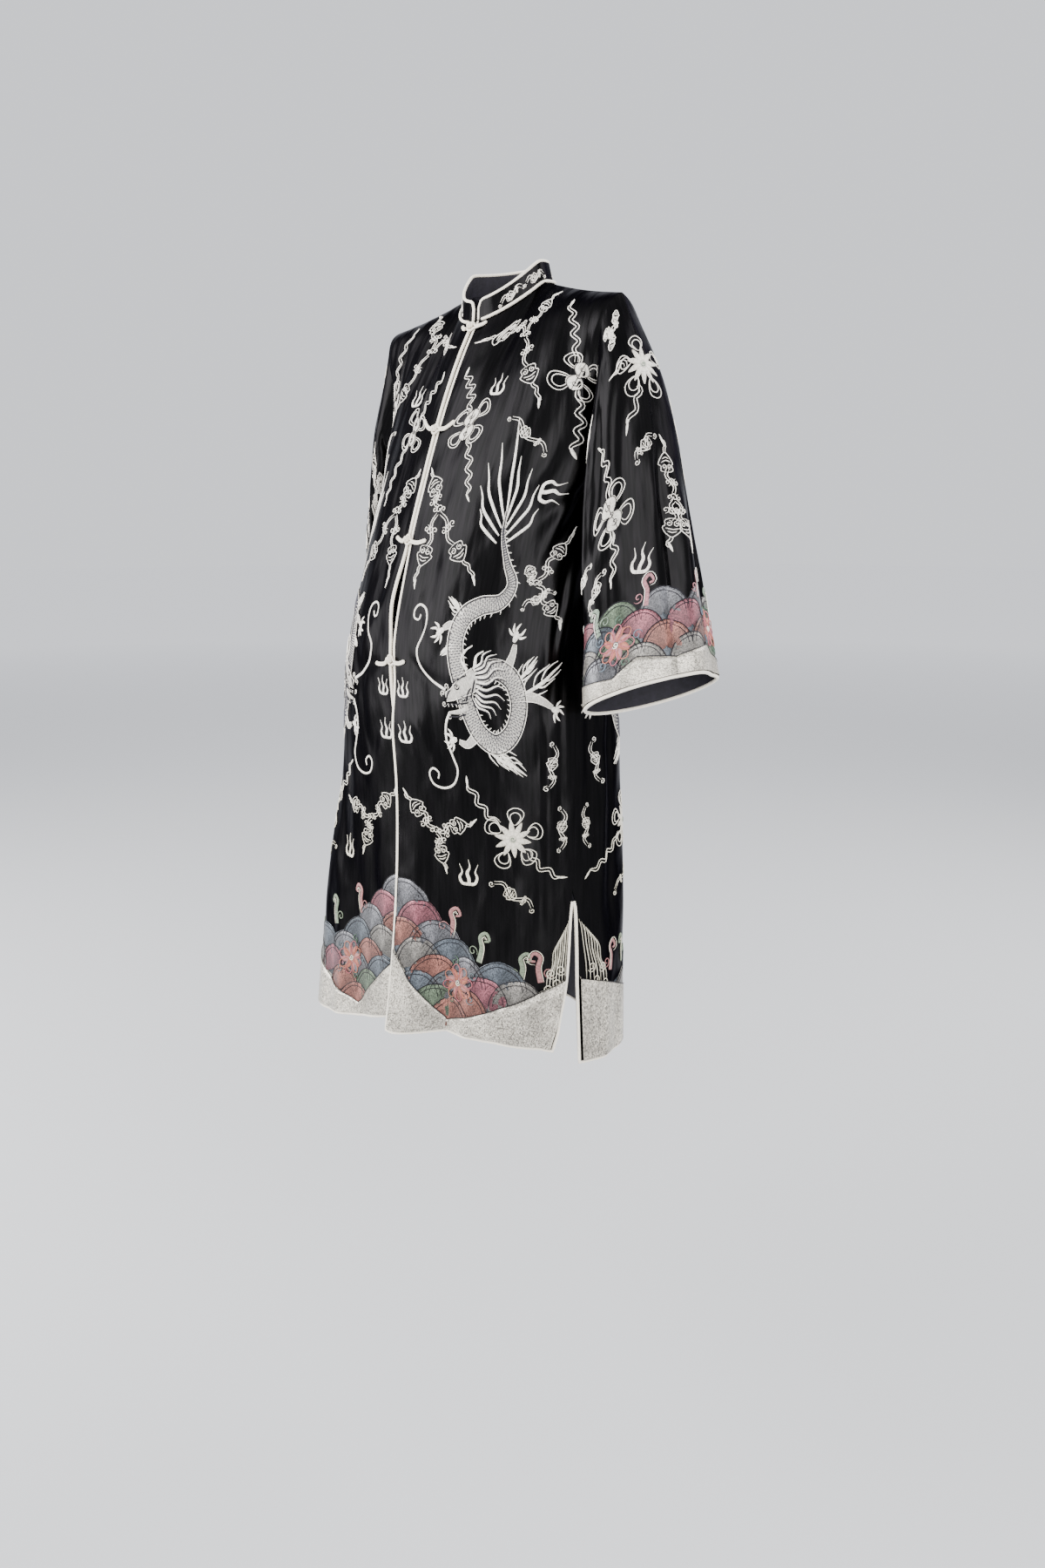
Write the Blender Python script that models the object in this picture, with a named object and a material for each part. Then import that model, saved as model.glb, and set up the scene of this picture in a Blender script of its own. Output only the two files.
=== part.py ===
"""An embroidered silk dressing gown, hollow and open, in the shape it has when it is worn.

Metres, +Z up. The gown faces -Y, so its own left side is at +X. The origin is the middle
of the neck, at the height of the shoulders. Every panel is a cloth wall laid between a
smooth outer surface and a copy of it moved in by the wall's thickness.
"""
from math import cos, pi, radians, sin

import bpy
import numpy as np

# Driving dimensions, in metres
WALL = 0.002            # silk and its dark lining
GAP = 0.0003            # between two pieces at a seam
CORD_EDGE = 0.0021      # radius of the cord that binds the open edges
CORD_COLLAR = 0.0018    # radius of the cords along the collar
CORD_FROG = 0.0013      # radius of the cord that the fastenings are made of
KNOT = 0.0044           # radius of a knot button
UNDERARM_Z = -0.24
UNDERARM_OUT = 0.08     # how far the underarm runs outwards before it turns down
HEM_Z = -0.942
QUARTER = 0.295         # round the body from the centre front to the side seam
ARMHOLE_ROUND = 0.12    # slope of the armhole's foot
SHOULDER_DIP = 0.003    # sag of the shoulder line
BACK_ROUND = 0.20       # how much more the back rounds out behind the shoulders
COLLAR_HEIGHT = 0.023
COLLAR_FRONT = 0.015    # height of a collar end below its rounded corner
COLLAR_LEAN = 0.16      # how far the collar leans in, for each metre up

# Neck and shoulder line
NECK_FRONT = (0.0, -0.043, -0.057)
NECK_BACK = (0.0, 0.060, -0.007)
NECK_SIDE = {1: (0.060, 0.012, -0.013), -1: (-0.062, 0.002, -0.013)}
SHOULDER = {1: (0.190, 0.014, -0.045), -1: (-0.196, -0.014, -0.040)}

# Shares of a panel: across from the centre line (0) to the side seam (1), down from the
# shoulder (0) to the hem (1)
NECK_SHARE = 0.27
YOKE = 0.28
SLIT_TOP = 0.775
SLIT_OPEN = 0.80

# The body's sections: height, centre x, centre y, half width, depth to the front, depth to
# the back, squareness (2 is an ellipse), then in degrees the turn to the gown's left, how
# far the opening lies left of the front, and how far forward the two side seams lie
SECTIONS = np.array([
    (-0.24, 0.000, 0.004, 0.178, 0.126, 0.122, 2.5, 0, 0, 0, 0),
    (-0.32, -0.002, -0.010, 0.177, 0.138, 0.132, 2.4, 1, 0, 3, 2),
    (-0.45, -0.006, -0.034, 0.188, 0.145, 0.138, 2.3, 4, 0, 8, 4),
    (-0.60, -0.008, -0.038, 0.200, 0.148, 0.145, 2.2, 7, 4, 14, 6),
    (-0.75, -0.010, -0.046, 0.213, 0.152, 0.150, 2.15, 10, 5, 18, 8),
    (-0.98, -0.012, -0.060, 0.229, 0.158, 0.155, 2.1, 12, 4, 18, 8)])

# Front edges: share down, then for the left and the right front the cloth's distance from
# the centre line and how far it is lifted off the body
FRONT_EDGES = np.array([
    (0.000, 0.0056, 0.000, 0.0056, 0.000),
    (0.300, 0.0064, 0.000, 0.0064, 0.000),
    (0.360, 0.0064, 0.000, 0.0064, 0.000),
    (0.430, 0.0092, 0.001, 0.0092, 0.004),
    (0.478, 0.0068, 0.000, 0.0068, 0.000),
    (0.528, 0.0062, 0.000, 0.0064, 0.000),
    (0.590, 0.0010, 0.008, 0.0064, 0.000),
    (0.700, -0.0030, 0.008, 0.0064, 0.000),
    (0.850, -0.0060, 0.010, 0.0064, 0.000),
    (1.000, -0.0080, 0.014, 0.0064, 0.000)])
EDGE_FALL = 0.30        # share of a front over which the lift dies away

# Side slits: share down, distance of the front's edge and of the back's from the seam line
SLITS = np.array([
    (0.000, 0.0, 0.0),
    (0.775, 0.0, 0.0),
    (0.800, 0.0052, 0.0052),
    (0.900, 0.016, 0.006),
    (1.000, 0.040, 0.007)])

# Hem: share across, height at the hem
HEMS = {
    "front_left": np.array([(0.0, -0.909), (0.3, -0.899), (0.6, -0.903), (1.0, -0.922)]),
    "front_right": np.array([(0.0, -0.890), (0.3, -0.915), (0.6, -0.932), (1.0, -0.942)]),
    "back": np.array([(-1.0, -0.945), (-0.5, -0.950), (0.0, -0.952), (0.5, -0.950), (1.0, -0.936)])}

# Largest folds of a panel: share across at its top and at its end, share down at its top
# and at its end, half width, height (a trough is below zero)
FOLDS = {
    "front_left": np.array([
        (0.86, 0.80, 0.10, 0.42, 0.022, 0.007),
        (0.72, 0.74, 0.34, 0.80, 0.026, -0.004),
        (0.40, 0.22, 0.74, 1.10, 0.030, -0.009),
        (0.55, 0.60, 0.70, 1.15, 0.045, 0.006)]),
    "front_right": np.array([
        (-0.86, -0.80, 0.10, 0.42, 0.022, 0.007),
        (-0.70, -0.74, 0.36, 0.85, 0.026, -0.004),
        (-0.34, -0.28, 0.72, 1.10, 0.030, -0.007),
        (-0.58, -0.62, 0.66, 1.15, 0.045, 0.005)]),
    "back": np.array([
        (0.84, 0.80, 0.12, 0.46, 0.024, 0.006),
        (-0.84, -0.80, 0.12, 0.44, 0.024, 0.006),
        (0.45, 0.40, 0.58, 1.15, 0.040, -0.008),
        (-0.42, -0.46, 0.60, 1.15, 0.040, -0.008),
        (0.04, -0.02, 0.52, 1.15, 0.050, 0.006)])}

# Sleeve sections, left: share along, centre x, y, z, from the centre to the overarm x, y, z,
# from the centre to the front x, y, z. The first section is the armhole.
SLEEVE_LEFT = np.array([
    (0.28, 0.2185, 0.0000, -0.200, 0.0175, 0.0035, 0.067, -0.005, -0.0558, -0.004),
    (0.58, 0.2380, -0.0020, -0.325, 0.0285, 0.0010, 0.055, -0.0143, -0.0675, -0.010),
    (1.00, 0.2680, -0.0060, -0.482, 0.0480, -0.0139, 0.0245, -0.0235, -0.0790, -0.0095)])
SLEEVE_RIGHT = np.array([
    (0.28, 0.2190, 0.0060, -0.200, 0.0175, 0.0035, 0.067, -0.003, -0.0560, -0.004),
    (0.58, 0.2360, 0.0140, -0.325, 0.0285, 0.0010, 0.055, -0.0100, -0.0680, -0.008),
    (1.00, 0.2690, 0.0300, -0.482, 0.0480, -0.0100, 0.0245, -0.0180, -0.0800, -0.0060)])

# Largest folds of a sleeve: share round at its top and at its end (0 overarm, 0.25 front,
# 0.5 underarm, 0.75 back), share along at its top and at its end, half width, height
SLEEVE_FOLDS = np.array([
    (0.93, 0.97, 0.45, 1.25, 0.016, 0.008),
    (0.84, 0.86, 0.40, 1.25, 0.018, -0.006),
    (0.12, 0.14, 0.15, 0.75, 0.018, 0.005),
    (0.62, 0.66, 0.10, 0.60, 0.020, 0.005),
    (0.36, 0.34, 0.30, 0.90, 0.018, -0.004)])

# Fastenings: share down, how far the knot stands off the cords, length of the left strap,
# its rise, length of the right strap, its rise
FROGS = (
    (0.013, 0.0000, 0.018, 0.000, 0.018, 0.000),
    (0.200, 0.0003, 0.030, 0.004, 0.034, 0.009),
    (0.356, 0.0003, 0.036, -0.001, 0.030, 0.003),
    (0.500, 0.0007, 0.026, -0.001, 0.036, -0.006))

# How finely the pieces are cut into facets
NECK_COLUMNS = 5
SHOULDER_COLUMNS = 8
YOKE_ROWS = 11
SEAM_ROWS = 10
SLIT_ROWS = 6
SLEEVE_ROWS = 13
CORD_SIDES = 6
STEP = 0.001            # share by which a slope is measured


def smooth(t):
    """Rise from 0 to 1 with level ends."""
    t = np.clip(t, 0.0, 1.0)
    return t * t * (3.0 - 2.0 * t)


def hermite(start, start_slope, end, end_slope, t):
    """A cubic from start to end with the two slopes given over the whole stretch."""
    return ((2 * t**3 - 3 * t**2 + 1) * start + (t**3 - 2 * t**2 + t) * start_slope
            + (3 * t**2 - 2 * t**3) * end + (t**3 - t**2) * end_slope)


def through_rows(places, rows, at):
    """A smooth curve through the rows, read at each place."""
    places = np.asarray(places, float)
    if places[0] > places[-1]:
        places = places[::-1]
        rows = rows[::-1]
    slopes = np.empty_like(rows)
    slopes[0] = (rows[1] - rows[0]) / (places[1] - places[0])
    slopes[-1] = (rows[-1] - rows[-2]) / (places[-1] - places[-2])
    for k in range(1, len(places) - 1):
        slopes[k] = (rows[k + 1] - rows[k - 1]) / (places[k + 1] - places[k - 1])
    at = np.clip(at, places[0], places[-1])
    k = np.clip(np.searchsorted(places, at, side="right") - 1, 0, len(places) - 2)
    span = places[k + 1] - places[k]
    extra = (1,) * (rows.ndim - 1)
    t = ((at - places[k]) / span).reshape(-1, *extra)
    span = span.reshape(-1, *extra)
    return hermite(rows[k], slopes[k] * span, rows[k + 1], slopes[k + 1] * span, t)


def unit(vectors):
    return vectors / np.linalg.norm(vectors, axis=-1, keepdims=True)


def body_points(front, across, height):
    """The body's section at each height, by share of length from the centre to the side.

    Shares past the side seam, over 1 or under -1, run on into the other half."""
    over = np.abs(across) > 1.0
    side = np.where(across < 0, -1.0, 1.0)
    share = np.where(over, 2.0 - np.abs(across), np.abs(across))
    facing = np.where(over, not front, front)
    row = through_rows(SECTIONS[:, 0], SECTIONS[:, 1:], height)
    (centre_x, centre_y, half, depth_front, depth_back, squareness,
     turn, opening, seam_left, seam_right) = row.T
    start = np.where(facing, np.radians(opening) * side, pi)
    end = pi / 2 - np.radians(np.where(side > 0, seam_left, seam_right))
    angle = start[:, None] + (end - start)[:, None] * np.linspace(0.0, 1.0, 61)[None, :]
    power = (2 / squareness)[:, None]
    sine, cosine = np.sin(angle), np.cos(angle)
    depth = np.where(cosine > 0, depth_front[:, None], depth_back[:, None])
    x = (side * half)[:, None] * np.sign(sine) * np.abs(sine) ** power
    y = -depth * np.sign(cosine) * np.abs(cosine) ** power
    length = np.cumsum(np.hypot(np.diff(x, axis=1), np.diff(y, axis=1)), axis=1)
    length = np.hstack([np.zeros((len(x), 1)), length])
    target = share * length[:, -1]
    k = np.clip((length < target[:, None]).sum(axis=1) - 1, 0, length.shape[1] - 2)
    pick = np.arange(len(x))
    t = (target - length[pick, k]) / (length[pick, k + 1] - length[pick, k])
    x = x[pick, k] + (x[pick, k + 1] - x[pick, k]) * t
    y = y[pick, k] + (y[pick, k + 1] - y[pick, k]) * t
    turned = np.radians(turn)
    return np.stack([centre_x + x * np.cos(turned) - y * np.sin(turned),
                     centre_y + x * np.sin(turned) + y * np.cos(turned), height], axis=1)


def top_points(front, across):
    """The neckline, then the shoulder line out to the armhole."""
    share = np.abs(across)
    edge = NECK_FRONT if front else NECK_BACK
    turn = np.clip(share / NECK_SHARE, 0, 1) * pi / 2
    t = np.clip((share - NECK_SHARE) / (1 - NECK_SHARE), 0, None)[:, None]
    points = np.zeros((len(across), 3))
    for side in (1, -1):
        foot, tip = np.array(NECK_SIDE[side]), np.array(SHOULDER[side])
        neck = np.stack([foot[0] * np.sin(turn), foot[1] + (edge[1] - foot[1]) * np.cos(turn),
                         edge[2] + (foot[2] - edge[2]) * (1 - np.cos(turn))], axis=1)
        shoulder = foot + (tip - foot) * t
        shoulder[:, 2] -= SHOULDER_DIP * np.sin(pi * np.clip(t[:, 0], 0, 1))
        here = (np.where(across < 0, -1, 1) == side)[:, None]
        points = np.where(here, np.where(share[:, None] <= NECK_SHARE, neck, shoulder), points)
    return points


def yoke_points(front, across, t):
    """From the neck and shoulders, t = 0, down to the body's first section, t = 1."""
    drop = 0.004
    level = np.full(len(across), UNDERARM_Z)
    top = top_points(front, across)
    low = body_points(front, across, level)
    below = body_points(front, across, level - drop)
    height = (top[:, 2] - UNDERARM_Z)[:, None]
    out = -1.0 if front else 1.0
    share = np.abs(across)
    on_shoulder = smooth((share - NECK_SHARE * 0.6) / 0.5)
    reach = 0.09 + 0.08 * on_shoulder
    if not front:
        reach = reach + BACK_ROUND * smooth(share / NECK_SHARE) * (1 - smooth((share - 0.4) / 0.6))
    leave = np.stack([np.zeros_like(share), out * reach, -(0.14 - 0.08 * on_shoulder)], axis=1)
    arrive = (below - low) / drop * height
    # The armhole has a round foot, so beside it the cloth comes down from the front or the back
    arrive[:, 1] -= out * ARMHOLE_ROUND * smooth((share - 0.7) / 0.3)
    return hermite(top, leave, low, arrive, t[:, None])


def fold_height(folds, across, down, width):
    """Soft ridges and troughs, each from a row of a table of folds."""
    height = np.zeros(len(across))
    for start, end, first, last, half, rise in folds:
        t = (down - first) / (last - first)
        centre = start + (end - start) * np.clip(t, 0, 1)
        along = smooth(t / 0.35) * smooth((1 - t) / 0.30)
        height += rise * along * np.exp(-((across - centre) * width / half) ** 2)
    return height


def panel_plain(piece, across, down):
    """A panel's surface without its folds."""
    front = piece != "back"
    in_yoke = down < YOKE
    level = UNDERARM_Z + (HEM_Z - UNDERARM_Z) * (down - YOKE) / (1 - YOKE)
    hem = HEMS[piece]
    place = np.abs(across) if front else across
    dip = through_rows(hem[:, 0], hem[:, 1:], place)[:, 0] - HEM_Z
    level = level + dip * np.clip((down - SLIT_TOP) / (1 - SLIT_TOP), 0, None) ** 2
    body = body_points(front, across, np.where(in_yoke, UNDERARM_Z, level))
    yoke = yoke_points(front, np.clip(across, -1, 1), np.clip(down / YOKE, 0, 1))
    return np.where(in_yoke[:, None], yoke, body)


def edge_values(piece, down):
    """Distance from the centre line and lift of a front's free edge."""
    row = through_rows(FRONT_EDGES[:, 0], FRONT_EDGES[:, 1:], down)
    first = 0 if piece == "front_left" else 2
    return row[:, first], row[:, first + 1]


def panel_lift(piece, across, down):
    """How far folds and a lifted front edge move the cloth out."""
    lift = fold_height(FOLDS[piece], across, down, QUARTER)
    seam = smooth((1 - np.abs(across)) / 0.12)
    lift *= np.maximum(seam, smooth((down - SLIT_OPEN) / 0.1)) * smooth(down / 0.1)
    if piece != "back":
        side = 1.0 if piece == "front_left" else -1.0
        distance, edge_lift = edge_values(piece, down)
        from_edge = side * across - distance / QUARTER
        lift *= smooth(from_edge / 0.12)
        lift += edge_lift * (1 - smooth(from_edge / EDGE_FALL))
    return lift


def surface_normals(points_at, across, down):
    """Outward unit normals, from the slopes both ways of the surface."""
    ahead = np.clip(down + STEP, 0, 1)
    behind = np.clip(down - STEP, 0, 1)
    along_u = points_at(across + STEP, down) - points_at(across - STEP, down)
    along_v = points_at(across, ahead) - points_at(across, behind)
    return unit(np.cross(along_v, along_u))


def panel_points(piece, across, down, lift=0.0):
    """Points of a panel's outer face, moved out by a lift."""
    front = piece != "back"
    flip = 1.0 if front else -1.0
    plain_normals = flip * surface_normals(lambda u, v: panel_plain(piece, u, v), across, down)
    moved = panel_lift(piece, across, down) + lift
    return panel_plain(piece, across, down) + plain_normals * moved[:, None]


def panel_normals(piece, across, down):
    """Outward normals of a panel's outer face, folds included."""
    flip = 1.0 if piece != "back" else -1.0
    # In the yoke nothing lies past the armhole, so slopes there are taken inside the panel
    inside = 1.0 - STEP
    across = np.where(down < YOKE - STEP, np.clip(across, -inside, inside), across)
    return flip * surface_normals(lambda u, v: panel_points(piece, u, v), across, down)


def armhole_points(side, around):
    """The armhole: down the front from the shoulder, then up the back."""
    front = "front_left" if side > 0 else "front_right"
    across = np.full(len(around), float(side))
    down_front = np.clip(2 * around, 0, 1) * YOKE
    down_back = np.clip(2 * (1 - around), 0, 1) * YOKE
    on_front = (around <= 0.5)[:, None]
    return np.where(on_front, panel_points(front, across, down_front),
                    panel_points("back", across, down_back))


def sleeve_plain(side, around, along):
    """A sleeve's surface without its folds: a curve through the armhole and the sections."""
    around = around % 1.0
    table = SLEEVE_LEFT if side > 0 else SLEEVE_RIGHT
    mirror = np.array([side, 1.0, 1.0])
    rings = [armhole_points(side, around)]
    for row in table:
        centre, over, fore = row[1:4], row[4:7], row[7:10]
        turn = 2 * pi * around[:, None]
        rings.append((centre + over * np.cos(turn) + fore * np.sin(turn)) * mirror)
    rings = np.array(rings)
    places = np.concatenate([[0.0], table[:, 0]])
    leave = np.outer(1 - np.cos(2 * pi * around), (side * UNDERARM_OUT / 2, 0.0, 0.0))
    slopes = [(rings[1] - rings[0]) / places[1] + leave]
    for k in range(1, len(places) - 1):
        slopes.append((rings[k + 1] - rings[k - 1]) / (places[k + 1] - places[k - 1]))
    slopes.append((rings[-1] - rings[-2]) / (places[-1] - places[-2]))
    slopes = np.array(slopes)
    k = np.clip(np.searchsorted(places, along, side="right") - 1, 0, len(places) - 2)
    pick = np.arange(len(around))
    span = (places[k + 1] - places[k])[:, None]
    t = (along - places[k])[:, None] / span
    return hermite(rings[k, pick], slopes[k, pick] * span,
                   rings[k + 1, pick], slopes[k + 1, pick] * span, t)


def sleeve_points(side, around, along, lift=0.0):
    """Points of a sleeve's outer face, moved out by a lift."""
    girth = 0.42
    height = np.zeros(len(around))
    for turn in (-1.0, 0.0, 1.0):
        height += fold_height(SLEEVE_FOLDS, around % 1.0 + turn, along, girth)
    normals = -side * surface_normals(lambda u, v: sleeve_plain(side, u, v), around, along)
    return sleeve_plain(side, around, along) + normals * (height + lift)[:, None]


def sleeve_normals(side, around, along):
    return -side * surface_normals(lambda u, v: sleeve_points(side, u, v), around, along)


def panel_shares():
    """Shares down of a panel's rows: the yoke, the sewn side seam, then the slit."""
    yoke = np.linspace(0, YOKE, YOKE_ROWS + 1)
    seam = np.linspace(YOKE, SLIT_TOP, SEAM_ROWS + 1)
    slit = np.linspace(SLIT_OPEN, 1, SLIT_ROWS + 1)
    return np.concatenate([yoke, seam[1:], slit])


def column_shares():
    """Shares across of a panel's columns, closer together along the neck."""
    neck = np.linspace(0, NECK_SHARE, NECK_COLUMNS + 1)
    shoulder = np.linspace(NECK_SHARE, 1, SHOULDER_COLUMNS + 1)
    return np.concatenate([neck, shoulder[1:]])


def panel_grid(piece):
    """Shares across and down of every point of a panel, its free edges in their places."""
    down = panel_shares()
    columns = column_shares()
    slit = through_rows(SLITS[:, 0], SLITS[:, 1:], down)
    slit[down <= SLIT_TOP] = 0.0
    if piece == "back":
        signed = np.concatenate([-columns[:0:-1], columns])
        pull = slit[:, 1:] / QUARTER
        across = signed - np.sign(signed) * pull * np.clip((np.abs(signed) - 0.6) / 0.4, 0, 1)
    else:
        side = 1.0 if piece == "front_left" else -1.0
        distance, _ = edge_values(piece, down)
        start = distance[:, None] / QUARTER * np.clip(1 - columns / NECK_SHARE, 0, 1)
        pull = slit[:, :1] / QUARTER * np.clip((columns - 0.6) / 0.4, 0, 1)
        across = side * (columns + start - pull)
    return across, np.repeat(down[:, None], across.shape[1], axis=1)


def evaluate(function, first, second):
    """Read a surface function on a grid of shares."""
    return function(first.ravel(), second.ravel()).reshape(*first.shape, 3)


def off_edge(edge, inside, normals, closed=False):
    """Half a gap from an edge towards its own piece, square to the wall's rim there."""
    if closed:
        run = np.roll(edge, -1, axis=0) - np.roll(edge, 1, axis=0)
    else:
        run = np.gradient(edge, axis=0)
    way = unit(np.cross(run, normals))
    toward = np.sign((way * (inside - edge)).sum(axis=1, keepdims=True))
    return way * toward * GAP / 2


def pull_in(points, normals):
    """Move a grid's border half a gap in, so that pieces meet with one gap between them."""
    moved = points.copy()
    moved[0] += off_edge(points[0], points[1], normals[0])
    moved[-1] += off_edge(points[-1], points[-2], normals[-1])
    moved[:, 0] += off_edge(points[:, 0], points[:, 1], normals[:, 0])
    moved[:, -1] += off_edge(points[:, -1], points[:, -2], normals[:, -1])
    return moved


def meet(first, second):
    """One normal for both pieces along a seam."""
    return unit(first + second)


def build_grids():
    """Outer points and normals of the five panels, with shared normals along the seams."""
    points = {}
    normals = {}
    for piece in ("front_left", "front_right", "back"):
        across, down = panel_grid(piece)
        points[piece] = evaluate(lambda u, v: panel_points(piece, u, v), across, down)
        normals[piece] = evaluate(lambda u, v: panel_normals(piece, u, v), across, down)
    around = np.arange(2 * YOKE_ROWS) / (2 * YOKE_ROWS)
    along = np.linspace(0, 1, SLEEVE_ROWS + 1)
    for side, piece in ((1, "sleeve_left"), (-1, "sleeve_right")):
        turn, share = np.meshgrid(around, along)
        points[piece] = evaluate(lambda u, v: sleeve_points(side, u, v), turn, share)
        normals[piece] = evaluate(lambda u, v: sleeve_normals(side, u, v), turn, share)
    share_seam_normals(normals)
    return points, normals


def share_seam_normals(normals):
    """Shoulder, side and armhole seams: both pieces lean the same way there."""
    back = normals["back"]
    middle = back.shape[1] // 2
    sewn = YOKE_ROWS + SEAM_ROWS + 1
    for side, front, sleeve in ((1, "front_left", "sleeve_left"), (-1, "front_right", "sleeve_right")):
        fore = normals[front]
        hind = back[:, middle:] if side > 0 else back[:, middle::-1]
        shoulder = slice(NECK_COLUMNS, None)
        hind[0, shoulder] = fore[0, shoulder] = meet(fore[0, shoulder], hind[0, shoulder])
        hind[YOKE_ROWS:sewn, -1] = fore[YOKE_ROWS:sewn, -1] = meet(
            fore[YOKE_ROWS:sewn, -1], hind[YOKE_ROWS:sewn, -1])
        ring = normals[sleeve][0]
        for k in range(YOKE_ROWS + 1):
            opposite = -k % len(ring)
            if k in (0, YOKE_ROWS):
                shared = meet(meet(fore[k, -1], hind[k, -1]), ring[k])
                fore[k, -1] = hind[k, -1] = ring[k] = shared
            else:
                fore[k, -1] = ring[k] = meet(fore[k, -1], ring[k])
                hind[k, -1] = ring[opposite] = meet(hind[k, -1], ring[opposite])


def material(name, colour, roughness):
    """A plain Principled material."""
    result = bpy.data.materials.new(name)
    result.use_nodes = True
    shader = result.node_tree.nodes["Principled BSDF"]
    shader.inputs["Base Color"].default_value = (*colour, 1.0)
    shader.inputs["Roughness"].default_value = roughness
    result.diffuse_color = (*colour, 1.0)
    return result


def add_object(name, corners, faces, look):
    """One closed body, its faces turned out."""
    mesh = bpy.data.meshes.new(name)
    mesh.from_pydata([tuple(corner) for corner in corners], [], faces)
    mesh.materials.append(look)
    mesh.shade_smooth()
    mesh.set_sharp_from_angle(angle=radians(50))
    made = bpy.data.objects.new(name, mesh)
    bpy.context.scene.collection.objects.link(made)
    return made


def grid_faces(rows, columns, closed, offset, flipped):
    """Quads of a grid, row by row; a closed grid runs round to its first column."""
    faces = []
    for i in range(rows - 1):
        for j in range(columns if closed else columns - 1):
            k = (j + 1) % columns
            quad = (i * columns + j, i * columns + k, (i + 1) * columns + k, (i + 1) * columns + j)
            quad = tuple(offset + corner for corner in quad)
            faces.append(quad[::-1] if flipped else quad)
    return faces


def cloth_wall(name, outer, normals, look, closed=False, flipped=False):
    """A cloth wall between a grid of outer points and the same grid moved in."""
    rows, columns = outer.shape[:2]
    inner = outer - normals * WALL
    count = rows * columns
    faces = grid_faces(rows, columns, closed, 0, flipped)
    faces += grid_faces(rows, columns, closed, count, not flipped)
    border = [(0, j) for j in range(columns)]
    if closed:
        border.append((0, 0))
        rims = [border, [(rows - 1, j) for _, j in border[::-1]]]
    else:
        border += [(i, columns - 1) for i in range(1, rows)]
        border += [(rows - 1, j) for j in range(columns - 2, -1, -1)]
        border += [(i, 0) for i in range(rows - 2, -1, -1)]
        rims = [border]
    # Two pieces that meet cut their rims along the same diagonals, from the higher outer corner
    level = outer[..., 2].ravel()
    for rim in rims:
        for (i, j), (k, m) in zip(rim, rim[1:]):
            a, b = i * columns + j, k * columns + m
            if level[a] > level[b]:
                halves = (a, a + count, b + count), (a, b + count, b)
            else:
                halves = (b, a, a + count), (b, a + count, b + count)
            faces += [half[::-1] if flipped else half for half in halves]
    return add_object(name, np.vstack([outer.reshape(-1, 3), inner.reshape(-1, 3)]), faces, look)


def cord(name, path, ups, radius, look, closed=False, sides=CORD_SIDES):
    """A round cord along a path of points; ups says which way its first side faces."""
    path = np.asarray(path)
    if closed:
        ahead, behind = np.roll(path, -1, axis=0), np.roll(path, 1, axis=0)
    else:
        ahead = np.vstack([path[1:], path[-1:]])
        behind = np.vstack([path[:1], path[:-1]])
    tangent = unit(ahead - behind)
    across = unit(np.cross(tangent, ups))
    up = np.cross(across, tangent)
    turn = 2 * pi * (np.arange(sides) + 0.5) / sides
    ring = radius * (np.cos(turn)[None, :, None] * up[:, None]
                     + np.sin(turn)[None, :, None] * across[:, None])
    rings = path[:, None] + ring
    count = len(path)
    faces = []
    for i in range(count if closed else count - 1):
        nxt = (i + 1) % count
        for j in range(sides):
            k = (j + 1) % sides
            faces.append((i * sides + j, i * sides + k, nxt * sides + k, nxt * sides + j))
    if not closed:
        faces.append(tuple(range(sides))[::-1])
        faces.append(tuple((count - 1) * sides + j for j in range(sides)))
    return add_object(name, rings.reshape(-1, 3), faces, look)


def beside(edge, inside, normals, radius):
    """Path of a cord that lies against a cloth edge: the points of the edge moved off it."""
    out = unit(edge - inside)
    return edge + out * (radius + GAP) - normals * WALL / 2


def along_border(border, normals, radius, side):
    """Path of a cord round a border with corners: each point moved off along its mitre."""
    runs = unit(np.diff(border, axis=0))
    before = np.vstack([runs[:1], runs])
    after = np.vstack([runs, runs[-1:]])
    out_before = side * unit(np.cross(before, normals))
    out_after = side * unit(np.cross(after, normals))
    mitre = unit(out_before + out_after)
    reach = (radius + GAP) / (mitre * out_before).sum(axis=1, keepdims=True)
    return border + mitre * reach - normals * WALL / 2


def border_cord(name, outer, normals, first, side, look):
    """Cord round the free edges of a panel: down one side, along the hem, up the slit."""
    slit_row = YOKE_ROWS + SEAM_ROWS + 1

    def round_three(grid):
        return np.vstack([grid[first:-1, 0], grid[-1], grid[slit_row:-1, -1][::-1]])

    path = along_border(round_three(outer), round_three(normals), CORD_EDGE, side)
    return cord(name, path, round_three(normals), CORD_EDGE, look)


def neck_line(points, normals):
    """The neck edge from the left front end, round the back, to the right front end."""
    left = slice(0, NECK_COLUMNS)
    middle = points["back"].shape[1] // 2
    hind = slice(middle - NECK_COLUMNS, middle + NECK_COLUMNS + 1)
    runs = []
    for grid in (points, normals):
        runs.append(np.vstack([grid["front_left"][0, left], grid["back"][0, hind][::-1],
                               grid["front_right"][0, left][::-1]]))
    return runs


def halve(rows):
    """Add the midpoint of every two rows."""
    result = np.empty((2 * len(rows) - 1, 3))
    result[::2] = rows
    result[1::2] = (rows[1:] + rows[:-1]) / 2
    return result


def collar_height(length, total):
    """Height of the collar by distance along the neck: its ends have rounded corners."""
    from_end = np.minimum(length, total - length)
    radius = COLLAR_HEIGHT - COLLAR_FRONT
    short = np.clip(radius - from_end, 0, radius)
    return COLLAR_FRONT + np.sqrt(radius**2 - short**2)


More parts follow.
